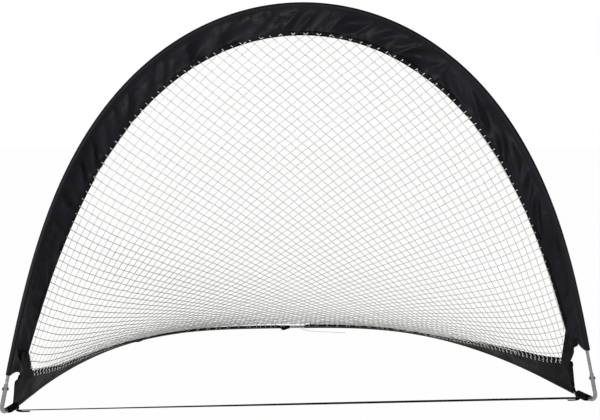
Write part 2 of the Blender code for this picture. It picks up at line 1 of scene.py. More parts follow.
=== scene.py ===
# %% [markdown]
# # A pop-up goal, from frame to fabric
# This goal folds flat: a springy pole makes a tall arch, a second one makes a hoop on the
# ground, and a knotted net is stretched between their black sleeves. The exact frame comes
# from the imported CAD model. Everything soft is made here, round the same pole lines.

# %% Load the frame
import math

import bmesh
import bpy
import numpy as np
from mathutils import Matrix, Vector, noise
from mathutils.kdtree import KDTree


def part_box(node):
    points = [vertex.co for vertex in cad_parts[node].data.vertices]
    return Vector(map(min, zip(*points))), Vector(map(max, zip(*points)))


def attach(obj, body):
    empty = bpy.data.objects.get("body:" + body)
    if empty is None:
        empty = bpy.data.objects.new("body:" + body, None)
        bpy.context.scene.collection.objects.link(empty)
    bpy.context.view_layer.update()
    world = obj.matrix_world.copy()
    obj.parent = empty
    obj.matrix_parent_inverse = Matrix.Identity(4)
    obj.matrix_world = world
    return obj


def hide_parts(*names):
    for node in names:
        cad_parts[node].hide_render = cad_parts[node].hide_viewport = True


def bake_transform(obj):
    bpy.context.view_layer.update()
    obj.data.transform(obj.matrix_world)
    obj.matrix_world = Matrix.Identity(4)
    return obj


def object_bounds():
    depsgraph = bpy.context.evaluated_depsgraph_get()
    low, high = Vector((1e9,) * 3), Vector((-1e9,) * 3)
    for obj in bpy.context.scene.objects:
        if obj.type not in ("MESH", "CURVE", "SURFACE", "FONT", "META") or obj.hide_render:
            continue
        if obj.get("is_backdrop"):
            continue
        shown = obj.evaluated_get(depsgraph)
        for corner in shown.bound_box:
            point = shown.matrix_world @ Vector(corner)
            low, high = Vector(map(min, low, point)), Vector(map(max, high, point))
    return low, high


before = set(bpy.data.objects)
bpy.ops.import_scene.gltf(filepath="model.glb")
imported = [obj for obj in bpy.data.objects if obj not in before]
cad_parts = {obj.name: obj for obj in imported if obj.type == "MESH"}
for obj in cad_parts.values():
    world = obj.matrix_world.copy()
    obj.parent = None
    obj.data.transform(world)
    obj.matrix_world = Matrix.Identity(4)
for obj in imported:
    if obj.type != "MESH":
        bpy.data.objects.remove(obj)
cad_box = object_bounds()

# %% [markdown]
# ## The camera first
# The photograph was taken from 2.8 m in front of the goal, at waist height, a little left of
# the middle. The place, the three turns and the lens were fitted to the feet, the top and
# the back of the goal. The lens is worked out for a frame of 600 by 420.

# %% Camera
camera_place = Vector((-0.2552, -3.3406, 0.8679))
yaw, pitch, roll = 0.0839, 0.0925, 0.0045
FOCAL_PIXELS, FRAME_PIXELS, SENSOR = 940.1, 600, 36
ahead = Vector((math.sin(yaw) * math.cos(pitch), math.cos(yaw) * math.cos(pitch), -math.sin(pitch)))
level = Vector((math.cos(yaw), -math.sin(yaw), 0))
over = level.cross(ahead)
across = level * math.cos(roll) + over * math.sin(roll)
above = over * math.cos(roll) - level * math.sin(roll)

camera_data = bpy.data.cameras.new("camera")
camera_data.sensor_width = SENSOR
camera_data.lens = FOCAL_PIXELS / FRAME_PIXELS * SENSOR
camera = bpy.data.objects.new("camera", camera_data)
bpy.context.scene.collection.objects.link(camera)
turn = Matrix((across, above, -ahead)).transposed().to_4x4()
camera.matrix_world = Matrix.Translation(camera_place) @ turn
bpy.context.scene.camera = camera
print("lens, mm:", round(camera_data.lens, 2))

# %% [markdown]
# ## Materials
# Every finish is a small node tree on one Principled shader. Colours are written as sRGB
# hex, as a colour picker shows them, and one function turns them into the linear numbers
# that the shader adds up. One more function adds a node with its settings and links.

# %% Colour and node helpers
def linear(text):
    """Linear RGBA from sRGB hex."""
    parts = [int(text[i:i + 2], 16) / 255 for i in (1, 3, 5)]
    return (*[c / 12.92 if c < 0.04045 else ((c + 0.055) / 1.055) ** 2.4 for c in parts], 1.0)


def new_material(name, colour, roughness, metallic=0.0, **sockets):
    """A material whose shader has these constant values; it returns the tree's parts too."""
    made = bpy.data.materials.new(name)
    made.use_nodes = True
    tree = made.node_tree
    shader = tree.nodes["Principled BSDF"]
    values = {"Base Color": linear(colour), "Roughness": roughness, "Metallic": metallic, **sockets}
    for socket, value in values.items():
        shader.inputs[socket].default_value = value
    return made, tree, shader


def add_node(tree, kind, links=(), inputs=None, **settings):
    """A node with its settings, input values, and links as (socket, output of another node)."""
    node = tree.nodes.new(kind)
    for name, value in settings.items():
        setattr(node, name, value)
    for name, value in (inputs or {}).items():
        node.inputs[name].default_value = value
    for socket, output in links:
        tree.links.new(output, node.inputs[socket])
    return node


def bump_from(tree, shader, height, strength, millimetres):
    """Light answers to this height as if the surface rose by so many millimetres."""
    bump = add_node(tree, "ShaderNodeBump", [("Height", height)],
                    {"Strength": strength, "Distance": millimetres / 1000})
    tree.links.new(bump.outputs["Normal"], shader.inputs["Normal"])


def drifting(tree, shader, amount, dark, light, roughness, below):
    """Colour and roughness follow the same patches of noise."""
    tint = add_node(tree, "ShaderNodeMix", [("Factor", amount)], data_type="RGBA")
    tint.inputs[6].default_value, tint.inputs[7].default_value = linear(dark), linear(light)
    tree.links.new(tint.outputs[2], shader.inputs["Base Color"])
    rough = add_node(tree, "ShaderNodeMapRange", [("Value", amount)],
                     {"From Min": 0.3, "From Max": 0.7, "To Min": roughness - below,
                      "To Max": roughness + 0.08})
    tree.links.new(rough.outputs["Result"], shader.inputs["Roughness"])


# %% [markdown]
# ### Black nylon taffeta
# The sleeves are 210-denier nylon, woven plain and coated inside. Its threads are 0.3 mm
# apart, too fine for this view, so the weave is drawn at 1.2 mm. It is nearly black from
# the front and greyer at a grazing angle, which a low index of refraction gives. Colour
# and roughness drift with a cloudy noise, and a finer one raises the small creases that
# packing leaves. The ground sleeve and the corner panels get a darker, rougher copy of the
# same nylon: painted shade for the weaker light that reaches them low down.

# %% Nylon taffeta
def woven(name, colour, light, roughness, weave_mm, crease):
    made, tree, shader = new_material(name, colour, roughness, IOR=1.12)
    where = add_node(tree, "ShaderNodeUVMap", uv_map="cloth")
    place = add_node(tree, "ShaderNodeTexCoord")
    warp, weft = [
        add_node(tree, "ShaderNodeTexWave", [("Vector", where.outputs["UV"])],
                 {"Scale": 1000 / weave_mm / 20, "Distortion": 0.6, "Detail": 0.0},
                 wave_type="BANDS", bands_direction=way)
        for way in ("X", "Y")]
    weave = add_node(tree, "ShaderNodeMath",
                     [(0, warp.outputs["Fac"]), (1, weft.outputs["Fac"])], operation="MULTIPLY")
    cloud = add_node(tree, "ShaderNodeTexNoise", [("Vector", place.outputs["Object"])],
                     {"Scale": 9.0, "Detail": 3.0, "Roughness": 0.55})
    creases = add_node(tree, "ShaderNodeTexNoise", [("Vector", place.outputs["Object"])],
                       {"Scale": 46.0, "Detail": 4.0, "Roughness": 0.62, "Distortion": 0.9})
    drifting(tree, shader, cloud.outputs["Fac"], colour, light, roughness, 0.07)
    height = add_node(tree, "ShaderNodeMath",
                      [(0, creases.outputs["Fac"]), (2, weave.outputs["Value"])],
                      operation="MULTIPLY_ADD")
    height.inputs[1].default_value = crease
    bump_from(tree, shader, height.outputs["Value"], 0.5, 0.35)
    return made


nylon = woven("nylon_taffeta_woven_coated", "#0c0c0f", "#1a1a1e", 0.42, 1.2, 2.6)
# A darker, rougher copy of the same nylon for the ground sleeve and corner panels: painted shade, as they
# get less light low down.
nylon_painted_shade = woven("nylon_taffeta_woven_painted_shade", "#050507", "#0c0c0f", 0.50, 1.2, 2.6)
ribbon = woven("polyester_binding_ribbed", "#050506", "#0b0b0d", 0.50, 2.0, 0.8)
webbing = woven("polypropylene_webbing_woven", "#08080a", "#131315", 0.66, 1.6, 1.4)
print("woven finishes:", nylon.name, nylon_painted_shade.name, ribbon.name, webbing.name)

# %% [markdown]
# ### Twine, steel and glass fibre
# The net is white polyethylene twine, slightly waxy. Its colour is painted a mid grey that
# drifts in small patches: painted shade of the thin strands and between their turns. The
# loose twine at the back is the same stuff gone grey. The corner tubes are zinc-plated steel:
# a pale grey metal with a faint drawn grain, duller where hands and grass have rubbed it.
# The rivets are darker. The rods are pultruded glass fibre.

# %% Twine, steel and glass fibre
def mottled(name, dark, light, roughness, scale, bump_mm, metallic=0.0):
    made, tree, shader = new_material(name, light, roughness, metallic)
    place = add_node(tree, "ShaderNodeTexCoord")
    speck = add_node(tree, "ShaderNodeTexNoise", [("Vector", place.outputs["Object"])],
                     {"Scale": scale, "Detail": 4.0, "Roughness": 0.6})
    drifting(tree, shader, speck.outputs["Fac"], dark, light, roughness, 0.06)
    bump_from(tree, shader, speck.outputs["Fac"], 0.4, bump_mm)
    return made


# White twine painted a mid grey that drifts in patches: painted shade of the thin strands.
net_twine_painted_shade = mottled("polyethylene_twine_braided_painted_shade", "#9c9c98", "#c3c3bf", 0.62, 620, 0.15)
grey_twine = mottled("polyethylene_twine_weathered", "#8b8b88", "#b4b4b0", 0.7, 520, 0.2)
zinc = mottled("steel_zinc_plated_drawn", "#6e7073", "#96989b", 0.24, 130, 0.03, 1.0)
rivet_steel = mottled("steel_dark_riveted", "#3a3a3c", "#5a5a5d", 0.42, 260, 0.05, 1.0)
glass_rod = mottled("glass_fibre_pultruded", "#121214", "#1f1f22", 0.38, 300, 0.03)
print("hard finishes:", zinc.name, rivet_steel.name, glass_rod.name)

# %% [markdown]
# ## The pole lines
# Both poles are repeated from the CAD source, in metres. The arch is a rod whose bend grows
# with height, because a tape ties its feet together, and it leans back by three degrees. The
# hoop is a rounded oblong on the ground. Reading both by the distance along them lets every
# strip of cloth below be laid out as a tailor would, in lengths along the pole.

# %% Pole lines
FRONT_Y, CORNER_X, LEAN = -0.5723, 0.9085, math.radians(3.16)
POLE_HEIGHT, LEG_HEIGHT = 0.00656, 0.00841
ARCH_TOP, STRAIGHT_FOOT, HOOP_DEPTH, HOOP_HALF = 1.22, 0.067, 1.144, 0.8795


class Line:
    """A polyline that is read by the distance along it."""

    def __init__(self, points):
        self.points = np.array(points)
        steps = np.linalg.norm(np.diff(self.points, axis=0), axis=1)
        self.marks = np.concatenate([[0.0], np.cumsum(steps)])
        self.length = self.marks[-1]

    def at(self, distance):
        return np.stack([np.interp(distance, self.marks, self.points[:, k]) for k in range(3)], -1)

    def part(self, keep, count):
        """Evenly spaced points along the stretch where keep holds."""
        marks = self.marks[keep(self.points)]
        return self.at(np.linspace(marks[0], marks[-1], count))


def unit(vectors):
    return vectors / np.linalg.norm(vectors, axis=-1, keepdims=True)


def smoothstep(value):
    value = np.clip(value, 0.0, 1.0)
    return value * value * (3 - 2 * value)


def arch_leg(bend):
    """X and height from the top down, until the rod reaches the ground."""
    step, x, height, angle = ARCH_TOP / 400, 0.0, ARCH_TOP, 0.0
    places = [(x, height)]
    while height > 0 and angle < 2.5:
        turn = bend * (max(height - STRAIGHT_FOOT, 0.0) / ARCH_TOP) ** 1.15 * step
        x += math.cos(angle + turn / 2) * step
        height -= math.sin(angle + turn / 2) * step
        angle += turn
        places.append((x, height))
    return places


low, high = 0.5, 6.0
for _ in range(40):
    middle = (low + high) / 2
    foot = arch_leg(middle)[-1]
    low, high = (low, middle) if foot[1] > 0 or foot[0] < CORNER_X else (middle, high)
leg = [(x, FRONT_Y + h * math.sin(LEAN), h * math.cos(LEAN)) for x, h in arch_leg(middle)]
arch = Line([(-x, y, z) for x, y, z in leg[::-1]] + leg[1:])


def hoop_half():
    """From the back's middle round to the right corner, where the steel leg takes over."""
    depths = HOOP_DEPTH - (HOOP_DEPTH - 0.16) * np.linspace(0, 1, 301) ** 2
    across = HOOP_HALF * np.maximum(1 - (depths / HOOP_DEPTH) ** 1.54, 0) ** (1 / 3.37)
    plan = np.stack([across, depths], 1)
    guide = plan[-1] + unit(plan[-1] - plan[-2]) * 0.16 * 0.6
    t = np.linspace(0, 1, 41)[1:, None]
    corner = np.array((CORNER_X, 0.0))
    round_off = plan[-1] * (1 - t) ** 2 + guide * 2 * t * (1 - t) + corner * t ** 2
    return np.concatenate([plan, round_off])


half = hoop_half()
plan = np.concatenate([half[::-1] * (-1, 1), half[1:]])
flat = Line(np.column_stack([plan[:, 0], plan[:, 1] + FRONT_Y, np.zeros(len(plan))]))
round_leg = 1 - smoothstep((np.minimum(flat.marks, flat.length - flat.marks) - 0.145) / 0.10)
rise = POLE_HEIGHT + (LEG_HEIGHT - POLE_HEIGHT) * round_leg
hoop = Line(flat.points + np.array((0, 0, 1)) * rise[:, None])
print("arch, hoop, m:", round(arch.length, 3), round(hoop.length, 3))

# %% [markdown]
# ## The cloth surface
# A stretched net settles like a soap film: each knot rests between its neighbours. The same
# rule finds the surface between the two poles here. It runs on a coarse grid first and then
# on finer ones, because a coarse grid passes the pull across the whole net in a few steps.

# %% Relaxed surface
def relax(grid, steps):
    for _ in range(steps):
        along = np.linalg.norm(grid[:, 2:] - grid[:, :-2], axis=2)[1:-1] ** -2
        down = np.linalg.norm(grid[2:] - grid[:-2], axis=2)[:, 1:-1] ** -2
        along, down = along[..., None], down[..., None]
        grid[1:-1, 1:-1] = (along * (grid[1:-1, 2:] + grid[1:-1, :-2])
                            + down * (grid[2:, 1:-1] + grid[:-2, 1:-1])) / (2 * (along + down))
    return grid


cloth = None
for columns, rows, steps in ((25, 9, 150), (49, 17, 250), (97, 33, 500), (193, 65, 500)):
    top = arch.part(lambda p: p[:, 2] > 0.135, columns)
    bottom = hoop.part(lambda p: p[:, 1] > FRONT_Y + 0.09, columns)
    if cloth is None:
        share = np.linspace(0, 1, rows)[:, None, None]
        cloth = top[None] * (1 - share) + bottom[None] * share
    else:
        wide = np.repeat(cloth, 2, axis=1)[:, :-1]
        wide[:, 1::2] = (cloth[:, :-1] + cloth[:, 1:]) / 2
        tall = np.repeat(wide, 2, axis=0)[:-1]
        tall[1::2] = (wide[:-1] + wide[1:]) / 2
        cloth = tall
        cloth[0], cloth[-1] = top, bottom
    cloth = relax(cloth, steps)
print("cloth grid:", cloth.shape[:2], "middle of it, m:", cloth[32, 96].round(3))

# %% [markdown]
# ## The knotted net
# A knotted net can't stretch along its twine: every bar between two knots keeps its length,
# here 24.6 mm, as measured on the photograph. So the diamonds close up or open out as the
# net bends over the frame. Drawing it as a wireframe of the surface would lose that. Here
# one thread is laid first, from the top right down to the lower left, with its mirror image.
# Each other knot then has only one place: one bar away from the two knots before it.

# %% Reading the surface between its grid points
BAR, KNOT_SCATTER = 0.0246, 0.0021
sides = 2 * cloth[:, :1] - cloth[:, 1:2], 2 * cloth[:, -1:] - cloth[:, -2:-1]
padded = np.concatenate([sides[0], cloth, sides[1]], 1)
sides = 2 * padded[:1] - padded[1:2], 2 * padded[-1:] - padded[-2:-1]
padded = np.concatenate([sides[0], padded, sides[1]], 0)


def on_cloth(u, v):
    """The point at shares u and v of the cloth, and how it moves with each of them."""
    size = (cloth.shape[1] - 1, cloth.shape[0] - 1)
    held = (np.clip(u, 0, 1), np.clip(v, 0, 1))
    cells, weights, slopes = [], [], []
    for share, count in zip(held, size):
        cell = np.minimum((share * count).astype(int), count - 1)
        t = share * count - cell
        cells.append(cell)
        weights.append((-.5 * t ** 3 + t ** 2 - .5 * t, 1.5 * t ** 3 - 2.5 * t ** 2 + 1,
                        -1.5 * t ** 3 + 2 * t ** 2 + .5 * t, .5 * t ** 3 - .5 * t ** 2))
        slopes.append([s * count for s in (-1.5 * t ** 2 + 2 * t - .5, 4.5 * t ** 2 - 5 * t,
                                           -4.5 * t ** 2 + 4 * t + .5, 1.5 * t ** 2 - t)])
    place, by_u, by_v = (np.zeros(u.shape + (3,)) for _ in range(3))
    for a in range(4):
        for b in range(4):
            point = padded[cells[1] + a, cells[0] + b]
            place += (weights[1][a] * weights[0][b])[..., None] * point
            by_u += (weights[1][a] * slopes[0][b])[..., None] * point
            by_v += (slopes[1][a] * weights[0][b])[..., None] * point
    place += by_u * (u - held[0])[..., None] + by_v * (v - held[1])[..., None]
    return place, by_u, by_v


# %% The first thread and its mirror image
thread_v = np.array((-0.10, 0.05, 0.20, 0.35, 0.50, 0.65, 0.80, 0.95, 1.10))
thread_u = np.array((0.707, 0.674, 0.599, 0.500, 0.409, 0.334, 0.264, 0.198, 0.146))
bend = np.polyfit(thread_v, thread_u, 6)
fine_v = np.linspace(-0.09, 1.09, 900)
fine_u = np.polyval(bend, fine_v)
fine_u += 0.5 - np.interp(0.35, fine_v, fine_u)
path = Line(on_cloth(fine_u, fine_v)[0])
start = np.interp(0.35, fine_v, path.marks)
REACH = 110
knots = np.full((2 * REACH + 1, 2 * REACH + 1, 2), np.nan)
for k in range(-47, 36):
    mark = start - k * BAR
    if 0 <= mark <= path.length:
        u, v = np.interp(mark, path.marks, fine_u), np.interp(mark, path.marks, fine_v)
        knots[REACH + k, REACH] = u, v
        knots[REACH, REACH - k] = 1 - u, v
print("knots on the first thread:", int((~np.isnan(knots[:, REACH, 0])).sum()))

# %% Every other knot, one bar from the two before it
def next_knots(first, second, guess):
    a, b = on_cloth(*first.T)[0], on_cloth(*second.T)[0]
    for _ in range(8):
        place, by_u, by_v = on_cloth(*guess.T)
        one, two = place - a, place - b
        off = ((one ** 2).sum(1) - BAR ** 2, (two ** 2).sum(1) - BAR ** 2)
        rows = [[2 * (one * by_u).sum(1), 2 * (one * by_v).sum(1)],
                [2 * (two * by_u).sum(1), 2 * (two * by_v).sum(1)]]
        scale = rows[0][0] * rows[1][1] - rows[0][1] * rows[1][0]
        scale = np.where(abs(scale) < 1e-9, 1e-9, scale)
        step = np.stack([(off[0] * rows[1][1] - off[1] * rows[0][1]) / scale,
                         (rows[0][0] * off[1] - rows[1][0] * off[0]) / scale], 1)
        guess = guess - step / np.maximum(1, np.linalg.norm(step, axis=1) / 0.03)[:, None]
    place = on_cloth(*guess.T)[0]
    for other in (a, b):
        guess[abs(np.linalg.norm(place - other, axis=1) - BAR) > 0.05 * BAR] = np.nan
    guess[(abs(guess[:, 0] - 0.5) > 0.56) | (abs(guess[:, 1] - 0.49) > 0.57)] = np.nan
    return guess


for way_i in (1, -1):
    for way_j in (1, -1):
        for ring in range(2, 2 * REACH):
            i = np.arange(1, ring)
            i = i[(i <= REACH) & (ring - i <= REACH)]
            j = REACH + (ring - i) * way_j
            i = REACH + i * way_i
            one, two = knots[i - way_i, j], knots[i, j - way_j]
            behind = knots[i - way_i, j - way_j]
            known = ~np.isnan(one + two + behind).any(1)
            if known.any():
                guess = (one + two - behind)[known]
                knots[i[known], j[known]] = next_knots(one[known], two[known], guess)
known = ~np.isnan(knots[..., 0])
places = np.full(known.shape + (3,), np.nan)
places[known] = on_cloth(*knots[known].T)[0]
noise.seed_set(5)  # without a seed, noise_vector starts from the clock
for i, j in np.argwhere(known):  # no knot is tied quite in its place
    places[i, j] += KNOT_SCATTER * np.array(noise.noise_vector((i * 0.73, j * 0.71, 4.0)))
print("knots in the whole lattice:", int(known.sum()))

# %% [markdown]
# ## Where the sleeves lie
# At each station along a pole, three directions place the cloth: along the pole, across the
# band towards the net, and out of the band towards the goal mouth. The arch's sleeve is
# 96 mm wide at the left foot, about 90 mm over the top and 77 mm low on the right, where
# the net pulls it narrower. The one on the ground is about 100 mm wide at the corners and
# narrows to 50 mm along the back, more quickly on the left.

# %% Stations and widths
ARCH_BAND, STATIONS = 0.090, 560


def column_reach(columns, width):
    """The point at this distance down each column of the cloth."""
    steps = np.linalg.norm(np.diff(columns, axis=1), axis=2)
    marks = np.concatenate([np.zeros((len(columns), 1)), np.cumsum(steps, 1)], 1)
    return np.array([[np.interp(w, m, c[:, k]) for k in range(3)]
                     for w, m, c in zip(width, marks, columns)])


def stations_of(line, foot, tail, columns, width):
    """Places along the pole with their tangent, band and outward directions."""
    marks = np.linspace(foot, line.length - tail, STATIONS)
    place = line.at(marks)
    tangent = unit(line.at(marks + 0.004) - line.at(marks - 0.004))
    share = np.linspace(0, 1, len(columns))
    reach = column_reach(columns, width)
    ends = line.marks[[np.argmin(np.linalg.norm(line.points - c[0], axis=1))
                       for c in (columns[0], columns[-1])]]
    at = np.clip((marks - ends[0]) / (ends[1] - ends[0]), 0, 1)
    aim = np.stack([np.interp(at, share, reach[:, k] - columns[:, 0, k]) for k in range(3)], -1)
    band = unit(aim - tangent * (aim * tangent).sum(1)[:, None])
    out = np.cross(tangent, band)
    out *= np.sign((out * (np.array(camera_place) - place)).sum(1))[:, None]
    return marks, place, tangent, band, out


def arch_width(mark):
    """Width of the arch's sleeve at a distance along the arch."""
    return np.interp(mark / arch.length,
                     (0, 0.06, 0.13, 0.38, 0.50, 0.62, 0.69, 0.76, 0.87, 0.94, 1),
                     (0.096, 0.093, 0.087, 0.087, 0.089, 0.091, 0.088, 0.083, 0.077, 0.078, 0.084))


def base_width(mark):
    """Width of the ground sleeve at a distance along the hoop, from either corner."""
    left = np.interp(mark, (0.10, 0.15, 0.24, 0.30, 0.38, 0.60),
                     (0.092, 0.088, 0.078, 0.070, 0.060, 0.050))
    right = np.interp(hoop.length - mark, (0.10, 0.15, 0.24, 0.30, 0.48, 0.66, 0.84, 1.1),
                      (0.100, 0.102, 0.092, 0.087, 0.082, 0.073, 0.058, 0.050))
    return np.where(mark < hoop.length / 2, left, right)


columns = cloth.transpose(1, 0, 2)
FOOT_LEFT, FOOT_RIGHT = 0.129, 0.177
arch_mark, arch_place, arch_along, arch_band, arch_out = stations_of(
    arch, FOOT_LEFT, FOOT_RIGHT, columns, np.full(len(columns), ARCH_BAND))
arch_widths = arch_width(arch_mark)
HOOP_LEFT, HOOP_RIGHT = 0.092, 0.110
column_mark = np.linspace(HOOP_LEFT, hoop.length - HOOP_RIGHT, len(columns))
hoop_mark, hoop_place, hoop_along, hoop_band, hoop_out = stations_of(
    hoop, HOOP_LEFT, HOOP_RIGHT, columns[:, ::-1], base_width(column_mark))
back_share = smoothstep((np.minimum(hoop_mark, hoop.length - hoop_mark) - 0.55) / 0.5)
lower = hoop_band * (1, 1, 0)
flatter = (back_share * np.where(hoop_place[:, 0] < 0.06, 0.18, 0.0))[:, None]
hoop_band = unit(hoop_band * (1 - flatter) + lower * flatter)
hoop_out = unit(np.cross(hoop_along, hoop_band))
hoop_out *= np.sign((hoop_out * (np.array(camera_place) - hoop_place)).sum(1))[:, None]
hoop_width = base_width(hoop_mark)
back_rise = math.degrees(math.asin(hoop_band[STATIONS // 2, 2]))
print("band at the back rises by, degrees:", round(back_rise, 1))

# %% [markdown]
# ## Folds
# Cloth sewn round a curve always has too much length on one side, so it puckers at right
# angles to the seam, in folds 25 to 40 mm apart that die out across the band. Where the
# pole pulls at it, longer folds run slantwise. Both come from smooth noise, stretched along
# the way the folds run, so that nothing repeats. Its absolute value has sharp valleys,
# which is how thin cloth creases, and a slower noise says where it creases most.

# %% Fold heights
def folds(mark, reach, width, seed, pucker, slant, lean):
    """Height of the cloth over its flat place: pucker at the net edge, slant folds that lean."""
    height = np.zeros(np.broadcast(mark, reach).shape)
    for index in np.ndindex(height.shape):
        s, d, w = (float(a[index]) for a in np.broadcast_arrays(mark, reach, width))
        t = d / w
        edge = math.exp(-((t - 0.93) / 0.20) ** 2)
        seam = math.exp(-((t - 0.24) / 0.13) ** 2)
        small = (0.5 - abs(noise.noise((s / 0.030 + d * 9, d / 0.09, seed)))) * pucker * (edge + 0.8 * seam)
        turned, endways = s * lean[0] + d * lean[1], d * lean[0] - s * lean[1]
        long = 0.4 - abs(noise.noise((turned / lean[2], endways / 0.16, seed + 7.3))) * 2
        wide = noise.noise((s / 0.34, d / 0.16, seed + 3.1))
        where = min(max(noise.noise((s / 0.34, 0.5, seed + 2.2)) * 1.6 + 0.9, 0.4), 1.4)
        middle = math.sin(math.pi * min(max((t - 0.1) / 0.86, 0.0), 1.0))
        height[index] = small + (long * where + wide) * slant * middle
    return height


# %% [markdown]
# ## A strip of cloth
# Each sleeve is one strip: from the net edge back to the pole, round it, and back to the net
# edge on the other side. A bmesh grid has exactly that layout, so it starts from one, and
# each grid point then moves to its place. The grid's own position also gives every piece of
# cloth a UV map in metres, which the weave follows round the folds.

# %% Strip helper
def new_object(name, mesh, finish):
    obj = bpy.data.objects.new(name, mesh)
    bpy.context.scene.collection.objects.link(obj)
    mesh.materials.append(finish)
    return obj


def strip(name, places, lengths, finish, thick, offset):
    """A grid of cloth through places[row][column], with its UV map from lengths in metres."""
    rows, count = places.shape[:2]
    bm = bmesh.new()
    bmesh.ops.create_grid(bm, x_segments=rows - 1, y_segments=count - 1, size=1.0)
    layer = bm.loops.layers.uv.new("cloth")
    spot = {v: (round((v.co.x + 1) / 2 * (rows - 1)), round((v.co.y + 1) / 2 * (count - 1)))
            for v in bm.verts}
    for face in bm.faces:
        for loop in face.loops:
            loop[layer].uv = lengths[spot[loop.vert]]
    for vert, index in spot.items():
        vert.co = places[index]
    mesh = bpy.data.meshes.new(name)
    bm.to_mesh(mesh)
    bm.free()
    mesh.shade_smooth()
    obj = new_object(name, mesh, finish)
    wall = obj.modifiers.new("wall", "SOLIDIFY")
    wall.thickness, wall.offset, wall.use_even_offset = thick, offset, False
    return obj


def stands_for(piece, body, slot, *nodes):
    """The piece rides on the body and hides the nodes; the slot is not used."""
    if body:
        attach(piece, body)
    if nodes:
        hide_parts(*nodes)


SEWN, LAYER_GAP = 0.017, 0.0011  # the seam beside the pole, half the space between layers


def cross_section(width, radius, loose, front, round_steps, back):
    """Reach and height of the strip's points: front layer, round the pole, back layer."""
    angles = np.radians(np.linspace(52, 308, round_steps))
    outward = np.cos(angles) * radius - loose * np.clip(-np.cos(angles), 0, 1) ** 2
    reach = np.concatenate([np.linspace(width, SEWN, front), outward,
                            np.linspace(SEWN, width, back)])
    height = np.concatenate([np.full(front, LAYER_GAP), np.sin(angles) * radius,
                             np.full(back, -LAYER_GAP)])
    side = np.concatenate([np.ones(front), np.zeros(round_steps), -np.ones(back)])
    return reach, height, side


# %% [markdown]
# ## The arch's sleeve
# Two lengths of sleeve are joined by a cross seam at the upper right. Both layers share the
# slow folds, and each has its own small puckers, so light catches them differently on each
# side. The sleeve keeps a wall of its own, 0.5 mm, and ends as an open tube at the foot.

# %% Arch sleeves
def sleeve(name, body, node, stations, widths, radius, seed, pucker, slant, lean, first, last,
           floor=None, loose=0.0):
    mark, place, along, band, out = (a[first:last] for a in stations)
    width = widths[first:last]
    ease = np.broadcast_to(loose, (STATIONS,))[first:last]
    sections = [cross_section(w, radius, e, 17, 11, 12) for w, e in zip(width, ease)]
    reach, height, side = (np.array([s[k] for s in sections]) for k in range(3))
    both = folds(mark[:, None], reach, width[:, None], seed, 0.0, slant, lean)
    own = folds(mark[:, None], reach, width[:, None], seed + 20, pucker, slant * 0.15, lean)
    back = folds(mark[:, None], reach, width[:, None], seed + 40, pucker, slant * 0.15, lean)
    lift = both * abs(side) + np.where(side > 0, abs(own), 0) - np.where(side < 0, abs(back), 0)
    fade = smoothstep((width[:, None] - reach) / 0.006) * 0.75 + 0.25
    rise = height + lift * np.where(side == 0, 0, fade)
    points = place[:, None] + band[:, None] * reach[..., None] + out[:, None] * rise[..., None]
    if floor is None:  # the open feet are cut in a curve beside the pole
        for foot, deep, way in ((0, 0.006, 1), (STATIONS - 1, 0.019, -1)):
            apart = abs(np.arange(first, last) - foot) * (arch_mark[1] - arch_mark[0])
            curve = np.exp(-((reach - 0.034) / 0.016) ** 2) * deep * way
            points += along[:, None] * (curve * (1 - smoothstep(apart / 0.06))[:, None])[..., None]
    else:
        points[..., 2] = np.maximum(points[..., 2], floor)
    around = np.concatenate([np.zeros((len(mark), 1)),
                             np.cumsum(np.hypot(np.diff(reach), np.diff(height)), 1)], 1)
    lengths = np.stack([np.broadcast_to(mark[:, None], around.shape), around], -1)
    # The ground sleeve takes the darker copy of the nylon: painted shade.
    cloth_of = {"arch": nylon, "base": nylon_painted_shade}
    piece = strip(name, points, lengths, cloth_of[body], 0.0005, 1.0)
    stands_for(piece, body, "black_nylon", node)


arch_stations = (arch_mark, arch_place, arch_along, arch_band, arch_out)
SEAM = int(STATIONS * 0.667)
loose = np.interp(arch_mark / arch.length, (0.6, 0.70, 0.76, 0.82, 0.87, 1),
                  (0.0, 0.0012, 0.0026, 0.005, 0.0062, 0.0055))
sleeve("arch_sleeve_cloth_left", "arch", "arch_sleeve_left", arch_stations, arch_widths,
       0.0073, 1.0, 0.0070, 0.0150, (0.74, 0.67, 0.046), 0, SEAM + 2, loose=loose)
sleeve("arch_sleeve_cloth_right", "arch", "arch_sleeve_right", arch_stations, arch_widths,
       0.0076, 5.0, 0.0070, 0.0260, (-0.45, 0.89, 0.036), SEAM, STATIONS, loose=loose)
print("arch sleeve, m:", round(arch_mark[-1] - arch_mark[0], 3))

# %% [markdown]
# ## The ground sleeve
# It stops short at the back, where the two halves are pulled in and lashed to the bare pole.
# There the band narrows to a twisted neck. Nothing may sink under the floor, so its points
# are held above it.

# %% Ground sleeves
LASH = int(np.argmin(np.abs(hoop_place[:, 0] - 0.062) + (hoop_place[:, 1] < 0) * 9))


def necked(side, reach, thin):
    """Widths that narrow towards the lashing over the given reach."""
    apart = (hoop_mark[LASH] - hoop_mark) * side
    return thin + (hoop_width - thin) * smoothstep((apart - 0.010) / reach)


def twisted(side, reach, turn):
    """Station directions that turn round the pole as the neck is reached."""
    apart = (hoop_mark[LASH] - hoop_mark) * side
    angle = turn * (1 - smoothstep((apart - 0.004) / reach))[:, None]
    up = np.cross(hoop_along, hoop_band)
    up *= np.sign((up * hoop_out).sum(1))[:, None]
    band = hoop_band * np.cos(angle) + up * np.sin(angle)
    out = up * np.cos(angle) - hoop_band * np.sin(angle)
    return (hoop_mark, hoop_place, hoop_along, band, out)


